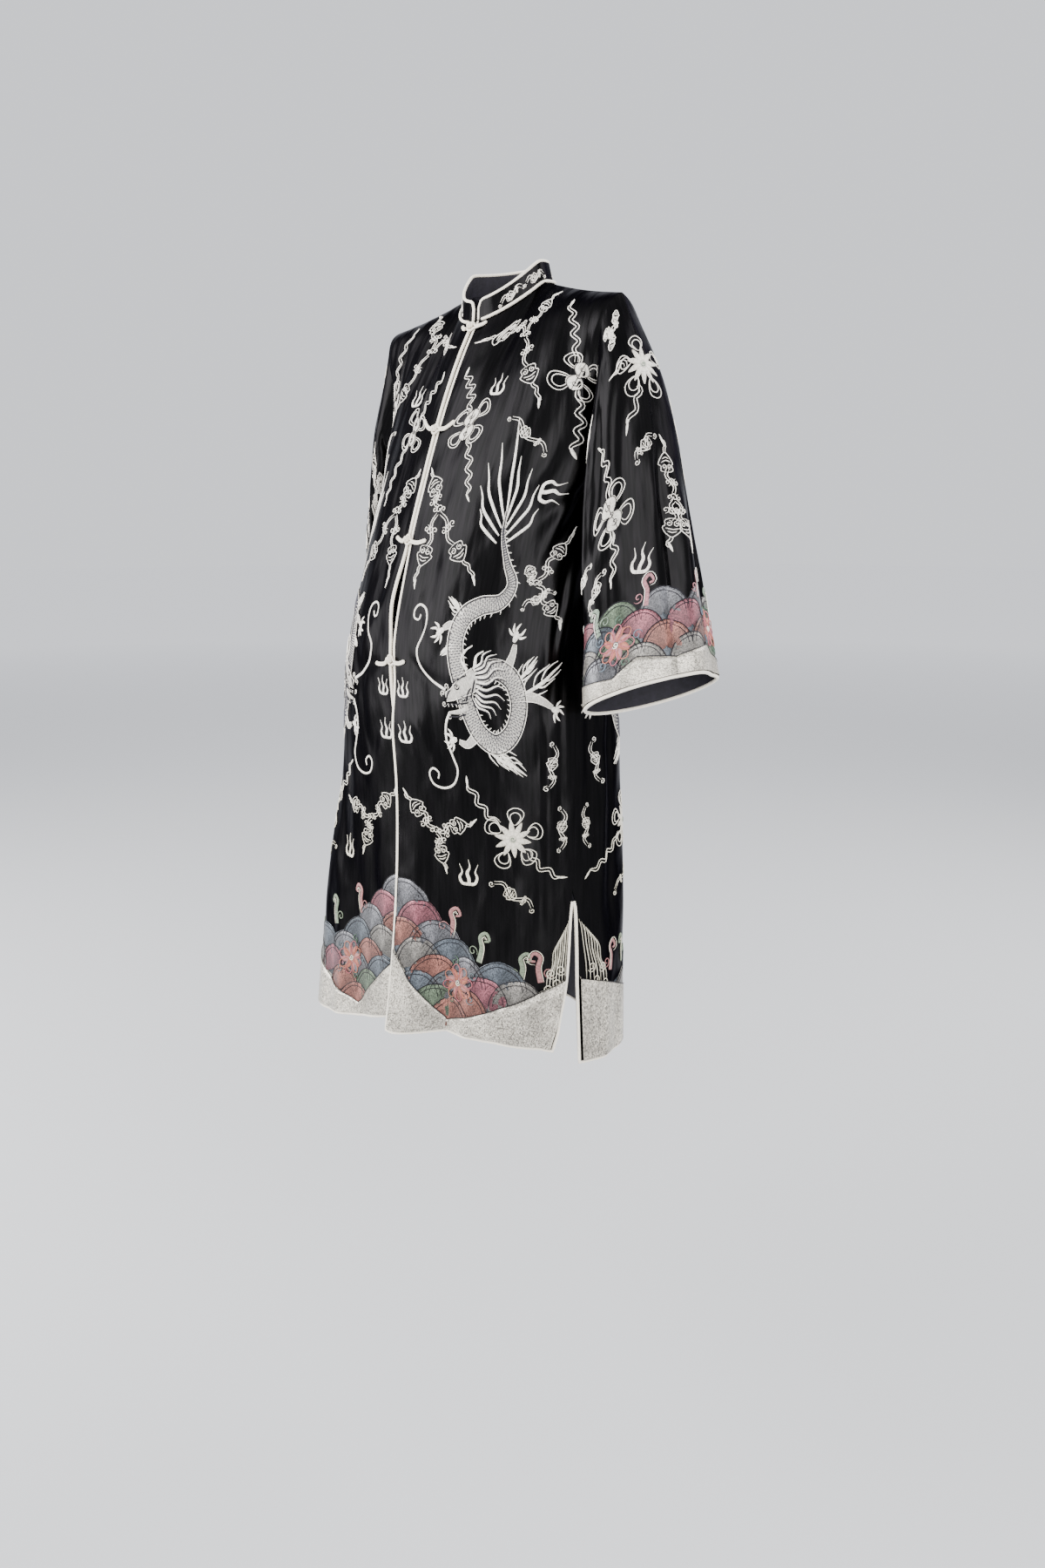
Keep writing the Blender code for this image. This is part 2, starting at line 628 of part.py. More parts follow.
def build_collar(points, normals, silk, trim):
    """A standing band collar, the cord over its edge and the cord in its seam."""
    line, panel_out = neck_line(points, normals)
    line, panel_out = halve(line), unit(halve(panel_out))
    length = np.concatenate([[0], np.cumsum(np.linalg.norm(np.diff(line, axis=0), axis=1))])
    ahead = np.vstack([line[1:], line[-1:]])
    behind = np.vstack([line[:1], line[:-1]])
    run = unit(ahead - behind)
    out = np.cross(run, (0.0, 0.0, 1.0))
    out = unit(out * (1.0, 1.0, 0.0))
    rise = unit(np.array((0.0, -0.10, 1.0)) - out * COLLAR_LEAN)
    height = collar_height(length, length[-1])
    foot = line + rise * 3 * GAP
    shares = (0.0, 0.35, 0.7, 1.0)
    outer = np.array([foot + rise * (height * share)[:, None] for share in shares])
    face = unit(np.cross(run, rise))
    face = np.repeat(face[None], len(shares), axis=0)
    cloth_wall("collar", pull_in(outer, face), face, silk)
    free = np.vstack([outer[1:-1, 0], outer[-1], outer[1:-1, -1][::-1]])
    free_out = np.vstack([face[1:-1, 0], face[-1], face[1:-1, -1][::-1]])
    cord("collar_edge_cord", along_border(free, free_out, CORD_COLLAR, -1), free_out, CORD_COLLAR, trim)
    face = face[0]
    nestle = (panel_out + face) / (1 + (panel_out * face).sum(axis=1, keepdims=True))
    seam = line + rise * GAP + nestle * (CORD_COLLAR + 4 * GAP)
    cord("collar_seam_cord", seam[1:-1], panel_out[1:-1], CORD_COLLAR, trim)


def lay(distance, down, lift):
    """Points on the fronts by distance from the centre line, to the left above zero.

    The fronts run straight from row to row, and so do the points laid on them."""
    distance, down, lift = np.broadcast_arrays(*np.atleast_1d(distance, down, lift))
    across = distance / QUARTER
    rows = panel_shares()
    k = np.clip(np.searchsorted(rows, down), 1, len(rows) - 1)
    ends = []
    for row in (rows[k - 1], rows[k]):
        left = panel_points("front_left", across, row, lift)
        right = panel_points("front_right", across, row, lift)
        ends.append(np.where(distance[:, None] > 0, left, right))
    t = (down - rows[k - 1]) / (rows[k] - rows[k - 1])
    return ends[0] + (ends[1] - ends[0]) * t[:, None]


def build_frog(number, row, trim):
    """A fastening: a knot button on the right strap, held by the loop of the left one."""
    down, stand_off, left_length, left_rise, right_length, right_rise = row
    over_cords = CORD_EDGE - WALL / 2
    distance, _ = edge_values("front_left", np.array([down]))
    # The knot rests between the two cords of the front edges
    reach = KNOT + CORD_EDGE + stand_off
    seat = np.sqrt(reach**2 - (distance[0] - CORD_EDGE - GAP) ** 2) - WALL / 2
    centre = lay(0.0, down, seat)[0]
    length_of_share = np.linalg.norm(lay(0.0, down + STEP, 0.0) - lay(0.0, down, 0.0)) / STEP
    knot_mesh(f"knot_{number}", centre, trim)
    half_strap = CORD_FROG + GAP
    head = KNOT + CORD_FROG + 3 * GAP
    for side, length, rise, loops in ((1, left_length, left_rise, True),
                                      (-1, right_length, right_rise, False)):
        start = 0.0 if loops else head + 2 * CORD_FROG + half_strap + 2 * GAP
        flat = strap_outline(start, length, half_strap, head if loops else half_strap, loops)
        slant = rise / length
        distance = side * flat[:, 0]
        drop = flat[:, 1] + flat[:, 0] * slant
        near = 1 - smooth((np.abs(distance) - 0.010) / 0.008)
        lift = CORD_FROG + 3 * GAP + near * over_cords
        path = lay(distance, down - drop / length_of_share, lift)
        ups = np.repeat((centre - lay(0.0, down, 0.0)), len(path), axis=0)
        name = f"strap_left_{number}" if side > 0 else f"strap_right_{number}"
        cord(name, path, ups, CORD_FROG, trim, closed=True, sides=5)


def strap_outline(start, length, half, head, loops):
    """A closed cord seen flat: two runs side by side and, on a loop, a round head."""
    points = []
    if loops:
        open_angle = 0.45
        for turn in np.linspace(open_angle, 2 * pi - open_angle, 9):
            points.append((head * cos(turn), head * sin(turn)))
    else:
        points += [(start, half), (start - half * 0.8, 0.0), (start, -half)]
    run = np.linspace(head * 1.35 if loops else start + 0.004, length, 4)
    for x in run:
        points.append((x, -half))
    points.append((length + half * 0.8, 0.0))
    for x in run[::-1]:
        points.append((x, half))
    return np.array(points)


def knot_mesh(name, centre, look):
    """A knot button: a ball."""
    rows, sides = 6, 10
    corners = [centre + (0.0, 0.0, KNOT)]
    for i in range(1, rows):
        tilt = pi * i / rows
        for j in range(sides):
            turn = 2 * pi * j / sides
            corners.append(centre + KNOT * np.array((sin(tilt) * cos(turn), sin(tilt) * sin(turn), cos(tilt))))
    corners.append(centre - (0.0, 0.0, KNOT))
    last = len(corners) - 1
    faces = []
    for j in range(sides):
        k = (j + 1) % sides
        faces.append((0, 1 + j, 1 + k))
        faces.append((last, last - sides + k, last - sides + j))
    faces += [tuple(1 + corner for corner in quad)
              for quad in grid_faces(rows - 1, sides, True, 0, True)]
    add_object(name, corners, faces, look)


def main():
    for item in list(bpy.data.objects):
        bpy.data.objects.remove(item, do_unlink=True)
    silk = material("black_silk", (0.012, 0.011, 0.016), 0.35)
    trim = material("cream_cord", (0.72, 0.66, 0.55), 0.6)
    points, normals = build_grids()
    for piece in ("front_left", "front_right", "back"):
        outer = pull_in(points[piece], normals[piece])
        cloth_wall(piece, outer, normals[piece], silk, flipped=piece == "front_left")
    slit_row = YOKE_ROWS + SEAM_ROWS + 1
    for name, piece, first, side in (("front_cord_left", "front_left", 0, 1),
                                     ("front_cord_right", "front_right", 0, -1),
                                     ("back_cord", "back", slit_row, -1)):
        border_cord(name, points[piece], normals[piece], first, side, trim)
    for side, piece in ((1, "sleeve_left"), (-1, "sleeve_right")):
        outer = points[piece].copy()
        outer[0] += off_edge(outer[0], outer[1], normals[piece][0], closed=True)
        cloth_wall(piece, outer, normals[piece], silk, closed=True, flipped=side < 0)
        path = beside(outer[-1], outer[-2], normals[piece][-1], CORD_EDGE)
        name = piece.replace("sleeve", "cuff_cord")
        cord(name, path, normals[piece][-1], CORD_EDGE, trim, closed=True)
    build_collar(points, normals, silk, trim)
    for number, row in enumerate(FROGS, start=1):
        build_frog(number, row, trim)


main()
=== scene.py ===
# %% [markdown]
# # An embroidered silk dressing gown
# The real gown is black silk satin with couched silver thread. The cloth of each panel is made
# here as a fine grid on the same surface as the CAD solid, so that creases, cords and
# embroidery can all be laid on it. Read the cells from top to bottom.

# %% Load the frame
from math import atan, cos, pi, radians, sin, tau

import bpy
import numpy as np
from mathutils import Matrix, Vector


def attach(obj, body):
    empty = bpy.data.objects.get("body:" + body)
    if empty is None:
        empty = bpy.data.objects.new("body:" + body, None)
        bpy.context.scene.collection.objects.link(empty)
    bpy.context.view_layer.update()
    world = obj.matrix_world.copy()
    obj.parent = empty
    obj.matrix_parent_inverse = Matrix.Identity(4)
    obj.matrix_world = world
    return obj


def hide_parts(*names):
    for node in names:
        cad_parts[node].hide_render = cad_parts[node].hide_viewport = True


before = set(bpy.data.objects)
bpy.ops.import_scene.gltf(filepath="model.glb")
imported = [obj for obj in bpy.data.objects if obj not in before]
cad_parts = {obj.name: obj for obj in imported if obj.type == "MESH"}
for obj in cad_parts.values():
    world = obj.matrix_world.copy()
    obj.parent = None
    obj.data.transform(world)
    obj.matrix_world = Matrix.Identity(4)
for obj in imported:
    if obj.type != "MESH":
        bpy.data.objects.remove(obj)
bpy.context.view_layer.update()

# %% [markdown]
# ## The shape of the worn gown
# These are the same named sizes and tables as in the CAD source, in metres. A real gown is
# cut flat and takes this shape on the body; here the shape is written down directly, because
# then every crease can be put where the photo has it.

# %% Sizes and tables of the shape
WALL = 0.002
CORD_EDGE = 0.0021
CORD_COLLAR = 0.0018
CORD_FROG = 0.0013
KNOT = 0.0044
SUNK = 0.0004           # how deep a cord is sewn into the cloth's edge
UNDERARM_Z = -0.24
UNDERARM_OUT = 0.08
HEM_Z = -0.942
QUARTER = 0.295         # a panel from its centre line to the side seam
ARMHOLE_ROUND = 0.12
SHOULDER_DIP = 0.003
BACK_ROUND = 0.20
COLLAR_HEIGHT = 0.023
COLLAR_FRONT = 0.015
COLLAR_LEAN = 0.16
NECK_FRONT = (0.0, -0.043, -0.057)
NECK_BACK = (0.0, 0.060, -0.007)
NECK_SIDE = {1: (0.060, 0.012, -0.013), -1: (-0.062, 0.002, -0.013)}
SHOULDER = {1: (0.190, 0.014, -0.045), -1: (-0.196, -0.014, -0.040)}
NECK_SHARE = 0.27
YOKE = 0.28
SLIT_TOP = 0.775
SLIT_OPEN = 0.80
EDGE_FALL = 0.30

# Height, centre x, centre y, half width, depth to the front, depth to the back, squareness,
# turn, opening left of the front, how far forward the left and the right side seam lie
SECTIONS = np.array([
    (-0.24, 0.000, 0.004, 0.178, 0.126, 0.122, 2.5, 0, 0, 0, 0),
    (-0.32, -0.002, -0.010, 0.177, 0.138, 0.132, 2.4, 1, 0, 3, 2),
    (-0.45, -0.006, -0.034, 0.188, 0.145, 0.138, 2.3, 4, 0, 8, 4),
    (-0.60, -0.008, -0.038, 0.200, 0.148, 0.145, 2.2, 7, 4, 14, 6),
    (-0.75, -0.010, -0.046, 0.213, 0.152, 0.150, 2.15, 10, 5, 18, 8),
    (-0.98, -0.012, -0.060, 0.229, 0.158, 0.155, 2.1, 12, 4, 18, 8)])

# Share down, then distance from the centre line and lift of the left and of the right front
FRONT_EDGES = np.array([
    (0.000, 0.0056, 0.000, 0.0056, 0.000),
    (0.300, 0.0064, 0.000, 0.0064, 0.000),
    (0.360, 0.0064, 0.000, 0.0064, 0.000),
    (0.430, 0.0092, 0.001, 0.0092, 0.004),
    (0.478, 0.0068, 0.000, 0.0068, 0.000),
    (0.528, 0.0062, 0.000, 0.0064, 0.000),
    (0.590, 0.0010, 0.008, 0.0064, 0.000),
    (0.700, -0.0030, 0.008, 0.0064, 0.000),
    (0.850, -0.0060, 0.010, 0.0064, 0.000),
    (1.000, -0.0080, 0.014, 0.0064, 0.000)])

# Share down, distance of the front's edge and of the back's edge from the side seam line
SLITS = np.array([
    (0.775, 0.0, 0.0),
    (0.800, 0.0052, 0.0052),
    (0.900, 0.016, 0.006),
    (1.000, 0.040, 0.007)])

HEMS = {
    "front_left": np.array([(0.0, -0.909), (0.3, -0.899), (0.6, -0.903), (1.0, -0.922)]),
    "front_right": np.array([(0.0, -0.890), (0.3, -0.915), (0.6, -0.932), (1.0, -0.942)]),
    "back": np.array([(-1.0, -0.945), (-0.5, -0.950), (0.0, -0.952), (0.5, -0.950), (1.0, -0.936)])}

# Share across at the fold's top and end, share down at its top and end, half width, height
FOLDS = {
    "front_left": np.array([
        (0.86, 0.80, 0.10, 0.42, 0.022, 0.007),
        (0.72, 0.74, 0.34, 0.80, 0.026, -0.004),
        (0.40, 0.22, 0.74, 1.10, 0.030, -0.009),
        (0.55, 0.60, 0.70, 1.15, 0.045, 0.006)]),
    "front_right": np.array([
        (-0.86, -0.80, 0.10, 0.42, 0.022, 0.007),
        (-0.70, -0.74, 0.36, 0.85, 0.026, -0.004),
        (-0.34, -0.28, 0.72, 1.10, 0.030, -0.007),
        (-0.58, -0.62, 0.66, 1.15, 0.045, 0.005)]),
    "back": np.array([
        (0.84, 0.80, 0.12, 0.46, 0.024, 0.006),
        (-0.84, -0.80, 0.12, 0.44, 0.024, 0.006),
        (0.45, 0.40, 0.58, 1.15, 0.040, -0.008),
        (-0.42, -0.46, 0.60, 1.15, 0.040, -0.008),
        (0.04, -0.02, 0.52, 1.15, 0.050, 0.006)])}

# Share along, centre, from the centre to the overarm, from the centre to the front
SLEEVE_TABLES = {
    1: np.array([
        (0.28, 0.2185, 0.0000, -0.200, 0.0175, 0.0035, 0.067, -0.005, -0.0558, -0.004),
        (0.58, 0.2380, -0.0020, -0.325, 0.0285, 0.0010, 0.055, -0.0143, -0.0675, -0.010),
        (1.00, 0.2680, -0.0060, -0.482, 0.0480, -0.0139, 0.0245, -0.0235, -0.0790, -0.0095)]),
    -1: np.array([
        (0.28, 0.2190, 0.0060, -0.200, 0.0175, 0.0035, 0.067, -0.003, -0.0560, -0.004),
        (0.58, 0.2360, 0.0140, -0.325, 0.0285, 0.0010, 0.055, -0.0100, -0.0680, -0.008),
        (1.00, 0.2690, 0.0300, -0.482, 0.0480, -0.0100, 0.0245, -0.0180, -0.0800, -0.0060)])}
SLEEVE_FOLDS = np.array([
    (0.93, 0.97, 0.45, 1.25, 0.016, 0.008),
    (0.84, 0.86, 0.40, 1.25, 0.018, -0.006),
    (0.12, 0.14, 0.15, 0.75, 0.018, 0.005),
    (0.62, 0.66, 0.10, 0.60, 0.020, 0.005),
    (0.36, 0.34, 0.30, 0.90, 0.018, -0.004)])

# Share down, knot's stand-off, length and rise of the left strap, of the right strap
FROGS = (
    (0.013, 0.0000, 0.018, 0.000, 0.018, 0.000),
    (0.200, 0.0003, 0.030, 0.004, 0.034, 0.009),
    (0.356, 0.0003, 0.036, -0.001, 0.030, 0.003),
    (0.500, 0.0007, 0.026, -0.001, 0.036, -0.006))

# %% [markdown]
# ## Reading a surface from a few rows of numbers
# A smooth curve is drawn through the rows of each table. Between the shoulders and the chest
# the cloth follows a curve that leaves the shoulder outwards and arrives at the body.

# %% Shape functions
def smooth(t):
    """Rise from 0 to 1 with level ends."""
    t = np.clip(t, 0.0, 1.0)
    return t * t * (3.0 - 2.0 * t)


def hermite(start, start_slope, end, end_slope, t):
    """A cubic from start to end with the two slopes given over the whole stretch."""
    return ((2 * t**3 - 3 * t**2 + 1) * start + (t**3 - 2 * t**2 + t) * start_slope
            + (3 * t**2 - 2 * t**3) * end + (t**3 - t**2) * end_slope)


def through_rows(places, rows, at):
    """A smooth curve through the rows, read at each place."""
    places = np.asarray(places, float)
    if places[0] > places[-1]:
        places, rows = places[::-1], rows[::-1]
    slopes = np.empty_like(rows)
    slopes[0] = (rows[1] - rows[0]) / (places[1] - places[0])
    slopes[-1] = (rows[-1] - rows[-2]) / (places[-1] - places[-2])
    for k in range(1, len(places) - 1):
        slopes[k] = (rows[k + 1] - rows[k - 1]) / (places[k + 1] - places[k - 1])
    at = np.clip(at, places[0], places[-1])
    k = np.clip(np.searchsorted(places, at, side="right") - 1, 0, len(places) - 2)
    span = places[k + 1] - places[k]
    extra = (1,) * (rows.ndim - 1)
    t = ((at - places[k]) / span).reshape(-1, *extra)
    span = span.reshape(-1, *extra)
    return hermite(rows[k], slopes[k] * span, rows[k + 1], slopes[k + 1] * span, t)


def unit(vectors):
    """Vectors of length one."""
    return vectors / np.maximum(np.linalg.norm(vectors, axis=-1, keepdims=True), 1e-12)


print("smooth", [round(float(smooth(t)), 2) for t in (0.25, 0.5, 0.75)])


# %% [markdown]
# ## The body's sections
# Below the armpits the gown hangs as a rounded box. Each level is a superellipse, because one
# number then makes it rounder or squarer, and a share of its length gives every point.

# %% Points on the body
def body_points(front, across, height):
    """The body's section at each height, by share of length from the centre to the side."""
    over = np.abs(across) > 1.0
    side = np.where(across < 0, -1.0, 1.0)
    share = np.where(over, 2.0 - np.abs(across), np.abs(across))
    facing = np.where(over, not front, front)
    row = through_rows(SECTIONS[:, 0], SECTIONS[:, 1:], height)
    (centre_x, centre_y, half, depth_front, depth_back, squareness,
     turn, opening, seam_left, seam_right) = row.T
    start = np.where(facing, np.radians(opening) * side, pi)
    end = pi / 2 - np.radians(np.where(side > 0, seam_left, seam_right))
    angle = start[:, None] + (end - start)[:, None] * np.linspace(0.0, 1.0, 61)[None, :]
    power = (2 / squareness)[:, None]
    sine, cosine = np.sin(angle), np.cos(angle)
    depth = np.where(cosine > 0, depth_front[:, None], depth_back[:, None])
    x = (side * half)[:, None] * np.sign(sine) * np.abs(sine) ** power
    y = -depth * np.sign(cosine) * np.abs(cosine) ** power
    length = np.cumsum(np.hypot(np.diff(x, axis=1), np.diff(y, axis=1)), axis=1)
    length = np.hstack([np.zeros((len(x), 1)), length])
    target = share * length[:, -1]
    k = np.clip((length < target[:, None]).sum(axis=1) - 1, 0, length.shape[1] - 2)
    pick = np.arange(len(x))
    t = (target - length[pick, k]) / (length[pick, k + 1] - length[pick, k])
    x = x[pick, k] + (x[pick, k + 1] - x[pick, k]) * t
    y = y[pick, k] + (y[pick, k + 1] - y[pick, k]) * t
    turned = np.radians(turn)
    return np.stack([centre_x + x * np.cos(turned) - y * np.sin(turned),
                     centre_y + x * np.sin(turned) + y * np.cos(turned), height], axis=1)


print("left side of the chest", body_points(True, np.array([1.0]), np.array([UNDERARM_Z])).round(3))


# %% [markdown]
# ## Neckline, shoulders and yoke
# The neckline is a quarter of an ellipse on each side, and the shoulder line falls from it.
# The yoke could be a straight loft, but cloth leaves a shoulder level and turns down later, so
# it is a cubic with its own slope at each end.

# %% Points from the neck down to the chest
def top_points(front, across):
    """The neckline, then the shoulder line out to the armhole."""
    share = np.abs(across)
    edge = NECK_FRONT if front else NECK_BACK
    turn = np.clip(share / NECK_SHARE, 0, 1) * pi / 2
    t = np.clip((share - NECK_SHARE) / (1 - NECK_SHARE), 0, None)[:, None]
    points = np.zeros((len(across), 3))
    for side in (1, -1):
        foot, tip = np.array(NECK_SIDE[side]), np.array(SHOULDER[side])
        neck = np.stack([foot[0] * np.sin(turn), foot[1] + (edge[1] - foot[1]) * np.cos(turn),
                         edge[2] + (foot[2] - edge[2]) * (1 - np.cos(turn))], axis=1)
        shoulder = foot + (tip - foot) * t
        shoulder[:, 2] -= SHOULDER_DIP * np.sin(pi * np.clip(t[:, 0], 0, 1))
        here = (np.where(across < 0, -1, 1) == side)[:, None]
        points = np.where(here, np.where(share[:, None] <= NECK_SHARE, neck, shoulder), points)
    return points


def yoke_points(front, across, t):
    """From the neck and shoulders, t = 0, down to the body's first section, t = 1."""
    drop = 0.004
    level = np.full(len(across), UNDERARM_Z)
    top = top_points(front, across)
    low = body_points(front, across, level)
    below = body_points(front, across, level - drop)
    height = (top[:, 2] - UNDERARM_Z)[:, None]
    out = -1.0 if front else 1.0
    share = np.abs(across)
    on_shoulder = smooth((share - NECK_SHARE * 0.6) / 0.5)
    reach = 0.09 + 0.08 * on_shoulder
    if not front:
        reach = reach + BACK_ROUND * smooth(share / NECK_SHARE) * (1 - smooth((share - 0.4) / 0.6))
    leave = np.stack([np.zeros_like(share), out * reach, -(0.14 - 0.08 * on_shoulder)], axis=1)
    arrive = (below - low) / drop * height
    arrive[:, 1] -= out * ARMHOLE_ROUND * smooth((share - 0.7) / 0.3)
    return hermite(top, leave, low, arrive, t[:, None])


def panel_plain(piece, across, down):
    """A panel's surface without its folds."""
    front = piece != "back"
    in_yoke = down < YOKE
    level = UNDERARM_Z + (HEM_Z - UNDERARM_Z) * (down - YOKE) / (1 - YOKE)
    hem = HEMS[piece]
    place = np.abs(across) if front else across
    dip = through_rows(hem[:, 0], hem[:, 1:], place)[:, 0] - HEM_Z
    level = level + dip * np.clip((down - SLIT_TOP) / (1 - SLIT_TOP), 0, None) ** 2
    points = np.empty((len(across), 3))
    if in_yoke.any():
        points[in_yoke] = yoke_points(front, np.clip(across[in_yoke], -1, 1), down[in_yoke] / YOKE)
    if not in_yoke.all():
        points[~in_yoke] = body_points(front, across[~in_yoke], level[~in_yoke])
    return points


print("left shoulder", top_points(True, np.array([1.0])).round(3))


# %% [markdown]
# ## Folds and free edges
# A fold is a soft ridge along a line that widens downwards. Cloth simulation would place the
# folds by chance, so each is a row of a table instead. Near a seam they fade out.

# %% Heights of folds and the line of the fronts' edges
def fold_height(folds, across, down, width):
    """Soft ridges and troughs, each from a row of a table of folds."""
    height = np.zeros(len(across))
    for start, end, first, last, half, rise in folds:
        t = (down - first) / (last - first)
        centre = start + (end - start) * np.clip(t, 0, 1)
        along = smooth(t / 0.35) * smooth((1 - t) / 0.30)
        height += rise * along * np.exp(-((across - centre) * width / half) ** 2)
    return height


def edge_values(piece, down):
    """Distance from the centre line and lift of a front's free edge."""
    row = through_rows(FRONT_EDGES[:, 0], FRONT_EDGES[:, 1:], down)
    first = 0 if piece == "front_left" else 2
    return row[:, first], row[:, first + 1]


def seam_fade(across, down):
    """1 in the middle of a panel and 0 where it is sewn to the next one."""
    seam = smooth((1 - np.abs(across)) / 0.12)
    return np.maximum(seam, smooth((down - SLIT_OPEN) / 0.1)) * smooth(down / 0.1)


# %% [markdown]
# ## Creases
# Satin is thin and slippery, so it breaks into soft drag lines from the armpits and long
# hanging folds below. Each row is one crease, placed from the photo and a little uneven; the
# hidden sides have similar ones. A mesh relief shows in the outline and in the gloss, which a
# bump map would not do.

# %% Creases, each a line on the cloth with a half width and a height
# Places in millimetres: from the centre line to the side, and down from the shoulder. Start
# x and y, end x and y, bow sideways, half width, height
PANEL_CREASES = np.array([
    (286, 196, 226, 330, -8, 9, -3.0), (292, 222, 250, 452, 10, 8, 2.6),
    (284, 214, 190, 282, -10, 10, -2.2), (270, 250, 238, 560, 6, 7, -2.4),
    (258, 330, 252, 700, -6, 9, 2.4), (240, 420, 236, 800, 5, 8, -2.2),
    (276, 380, 274, 640, 3, 6, -2.0), (222, 160, 150, 236, 8, 12, -1.6),
    (196, 120, 120, 190, -6, 14, 1.4), (60, 250, 46, 420, 8, 14, -1.8),
    (30, 330, 92, 400, 6, 9, 1.6), (24, 400, 110, 448, -8, 10, -1.8),
    (28, 470, 80, 560, 8, 10, 1.5), (150, 520, 128, 700, -6, 16, -2.2),
    (206, 560, 196, 800, 6, 15, 2.0), (70, 560, 46, 760, -6, 12, -1.8),
    (34, 640, 22, 900, 4, 10, 2.2), (172, 700, 164, 960, 4, 12, -2.6),
    (128, 760, 120, 980, -4, 11, 2.2), (236, 780, 232, 980, 3, 10, -2.2),
    (84, 800, 70, 990, 3, 9, -2.0), (262, 830, 264, 990, 2, 8, 1.8)], float)

# On a sleeve: round from the overarm and along from the armhole, in thousandths
SLEEVE_CREASES = np.array([
    (430, 20, 330, 290, 20, 9, -3.2), (455, 40, 392, 430, -16, 8, 3.0),
    (400, 10, 250, 180, 20, 9, -2.6), (480, 120, 440, 620, 14, 9, -3.0),
    (985, 420, 990, 1060, 6, 6, -4.2), (1010, 470, 1012, 1080, -4, 8, 2.6),
    (190, 200, 205, 640, -12, 9, -2.2), (240, 260, 258, 760, 10, 8, 2.2),
    (300, 380, 296, 900, 8, 9, -2.4), (90, 300, 84, 780, 8, 10, -1.8),
    (560, 60, 640, 420, -14, 10, -2.6), (600, 30, 720, 230, 12, 9, 2.4),
    (700, 380, 716, 980, 10, 10, -2.4), (790, 300, 800, 900, -8, 12, 2.0),
    (350, 620, 344, 1040, 4, 8, 2.0), (150, 640, 148, 1040, 4, 9, -1.8)], float)


CREASE_DEPTH = 1.5       # how deep all creases are against their rows


def crease_height(rows, x, y, x_size, y_size):
    """Height of all creases, in metres; the sizes turn places into millimetres."""
    height = np.zeros(len(x))
    for x0, y0, x1, y1, bow, half, rise in rows:
        ax, ay = x0 * x_size, y0 * y_size
        run_x, run_y = x1 * x_size - ax, y1 * y_size - ay
        length = np.hypot(run_x, run_y)
        t = ((x * x_size - ax) * run_x + (y * y_size - ay) * run_y) / length**2
        off = ((x * x_size - ax) * run_y - (y * y_size - ay) * run_x) / length
        off = off - bow * np.sin(pi * np.clip(t, 0, 1))
        spread = half * (0.8 + 0.5 * np.clip(t, 0, 1))
        along = smooth((t + 0.05) / 0.35) * smooth((1.05 - t) / 0.4)
        height += CREASE_DEPTH * rise / 1000 * along * np.exp(-(off / spread) ** 2)
    return height


# %% [markdown]
# ## A chart for each piece of cloth
# A chart is a fine grid of points with their outward directions. It is read with a smooth
# spline, so anything can be laid on the cloth by its place in millimetres.

# %% Charts
SHOULDER_TO_CHEST = 200.0    # millimetres down a panel that its yoke takes
PANEL_MM = 902.0             # a panel's whole length, and half its width
HALF_MM = 295.0
OVERLAP_MM = 18.0            # how far a front's chart reaches past the centre line
SLEEVE_ROUND = 0.44          # metres round a sleeve and along it, for its thousandths
SLEEVE_LONG = 0.40
LINES_DOWN, LINES_ROUND, LINES_ALONG = 241, 128, 131   # lines of the charts


def weights(t):
    """Weights of the four neighbours on a smooth curve."""
    return np.stack([((2 - t) * t - 1) * t / 2, ((3 * t - 5) * t * t + 2) / 2,
                     ((4 - 3 * t) * t + 1) * t / 2, (t - 1) * t * t / 2], axis=-1)


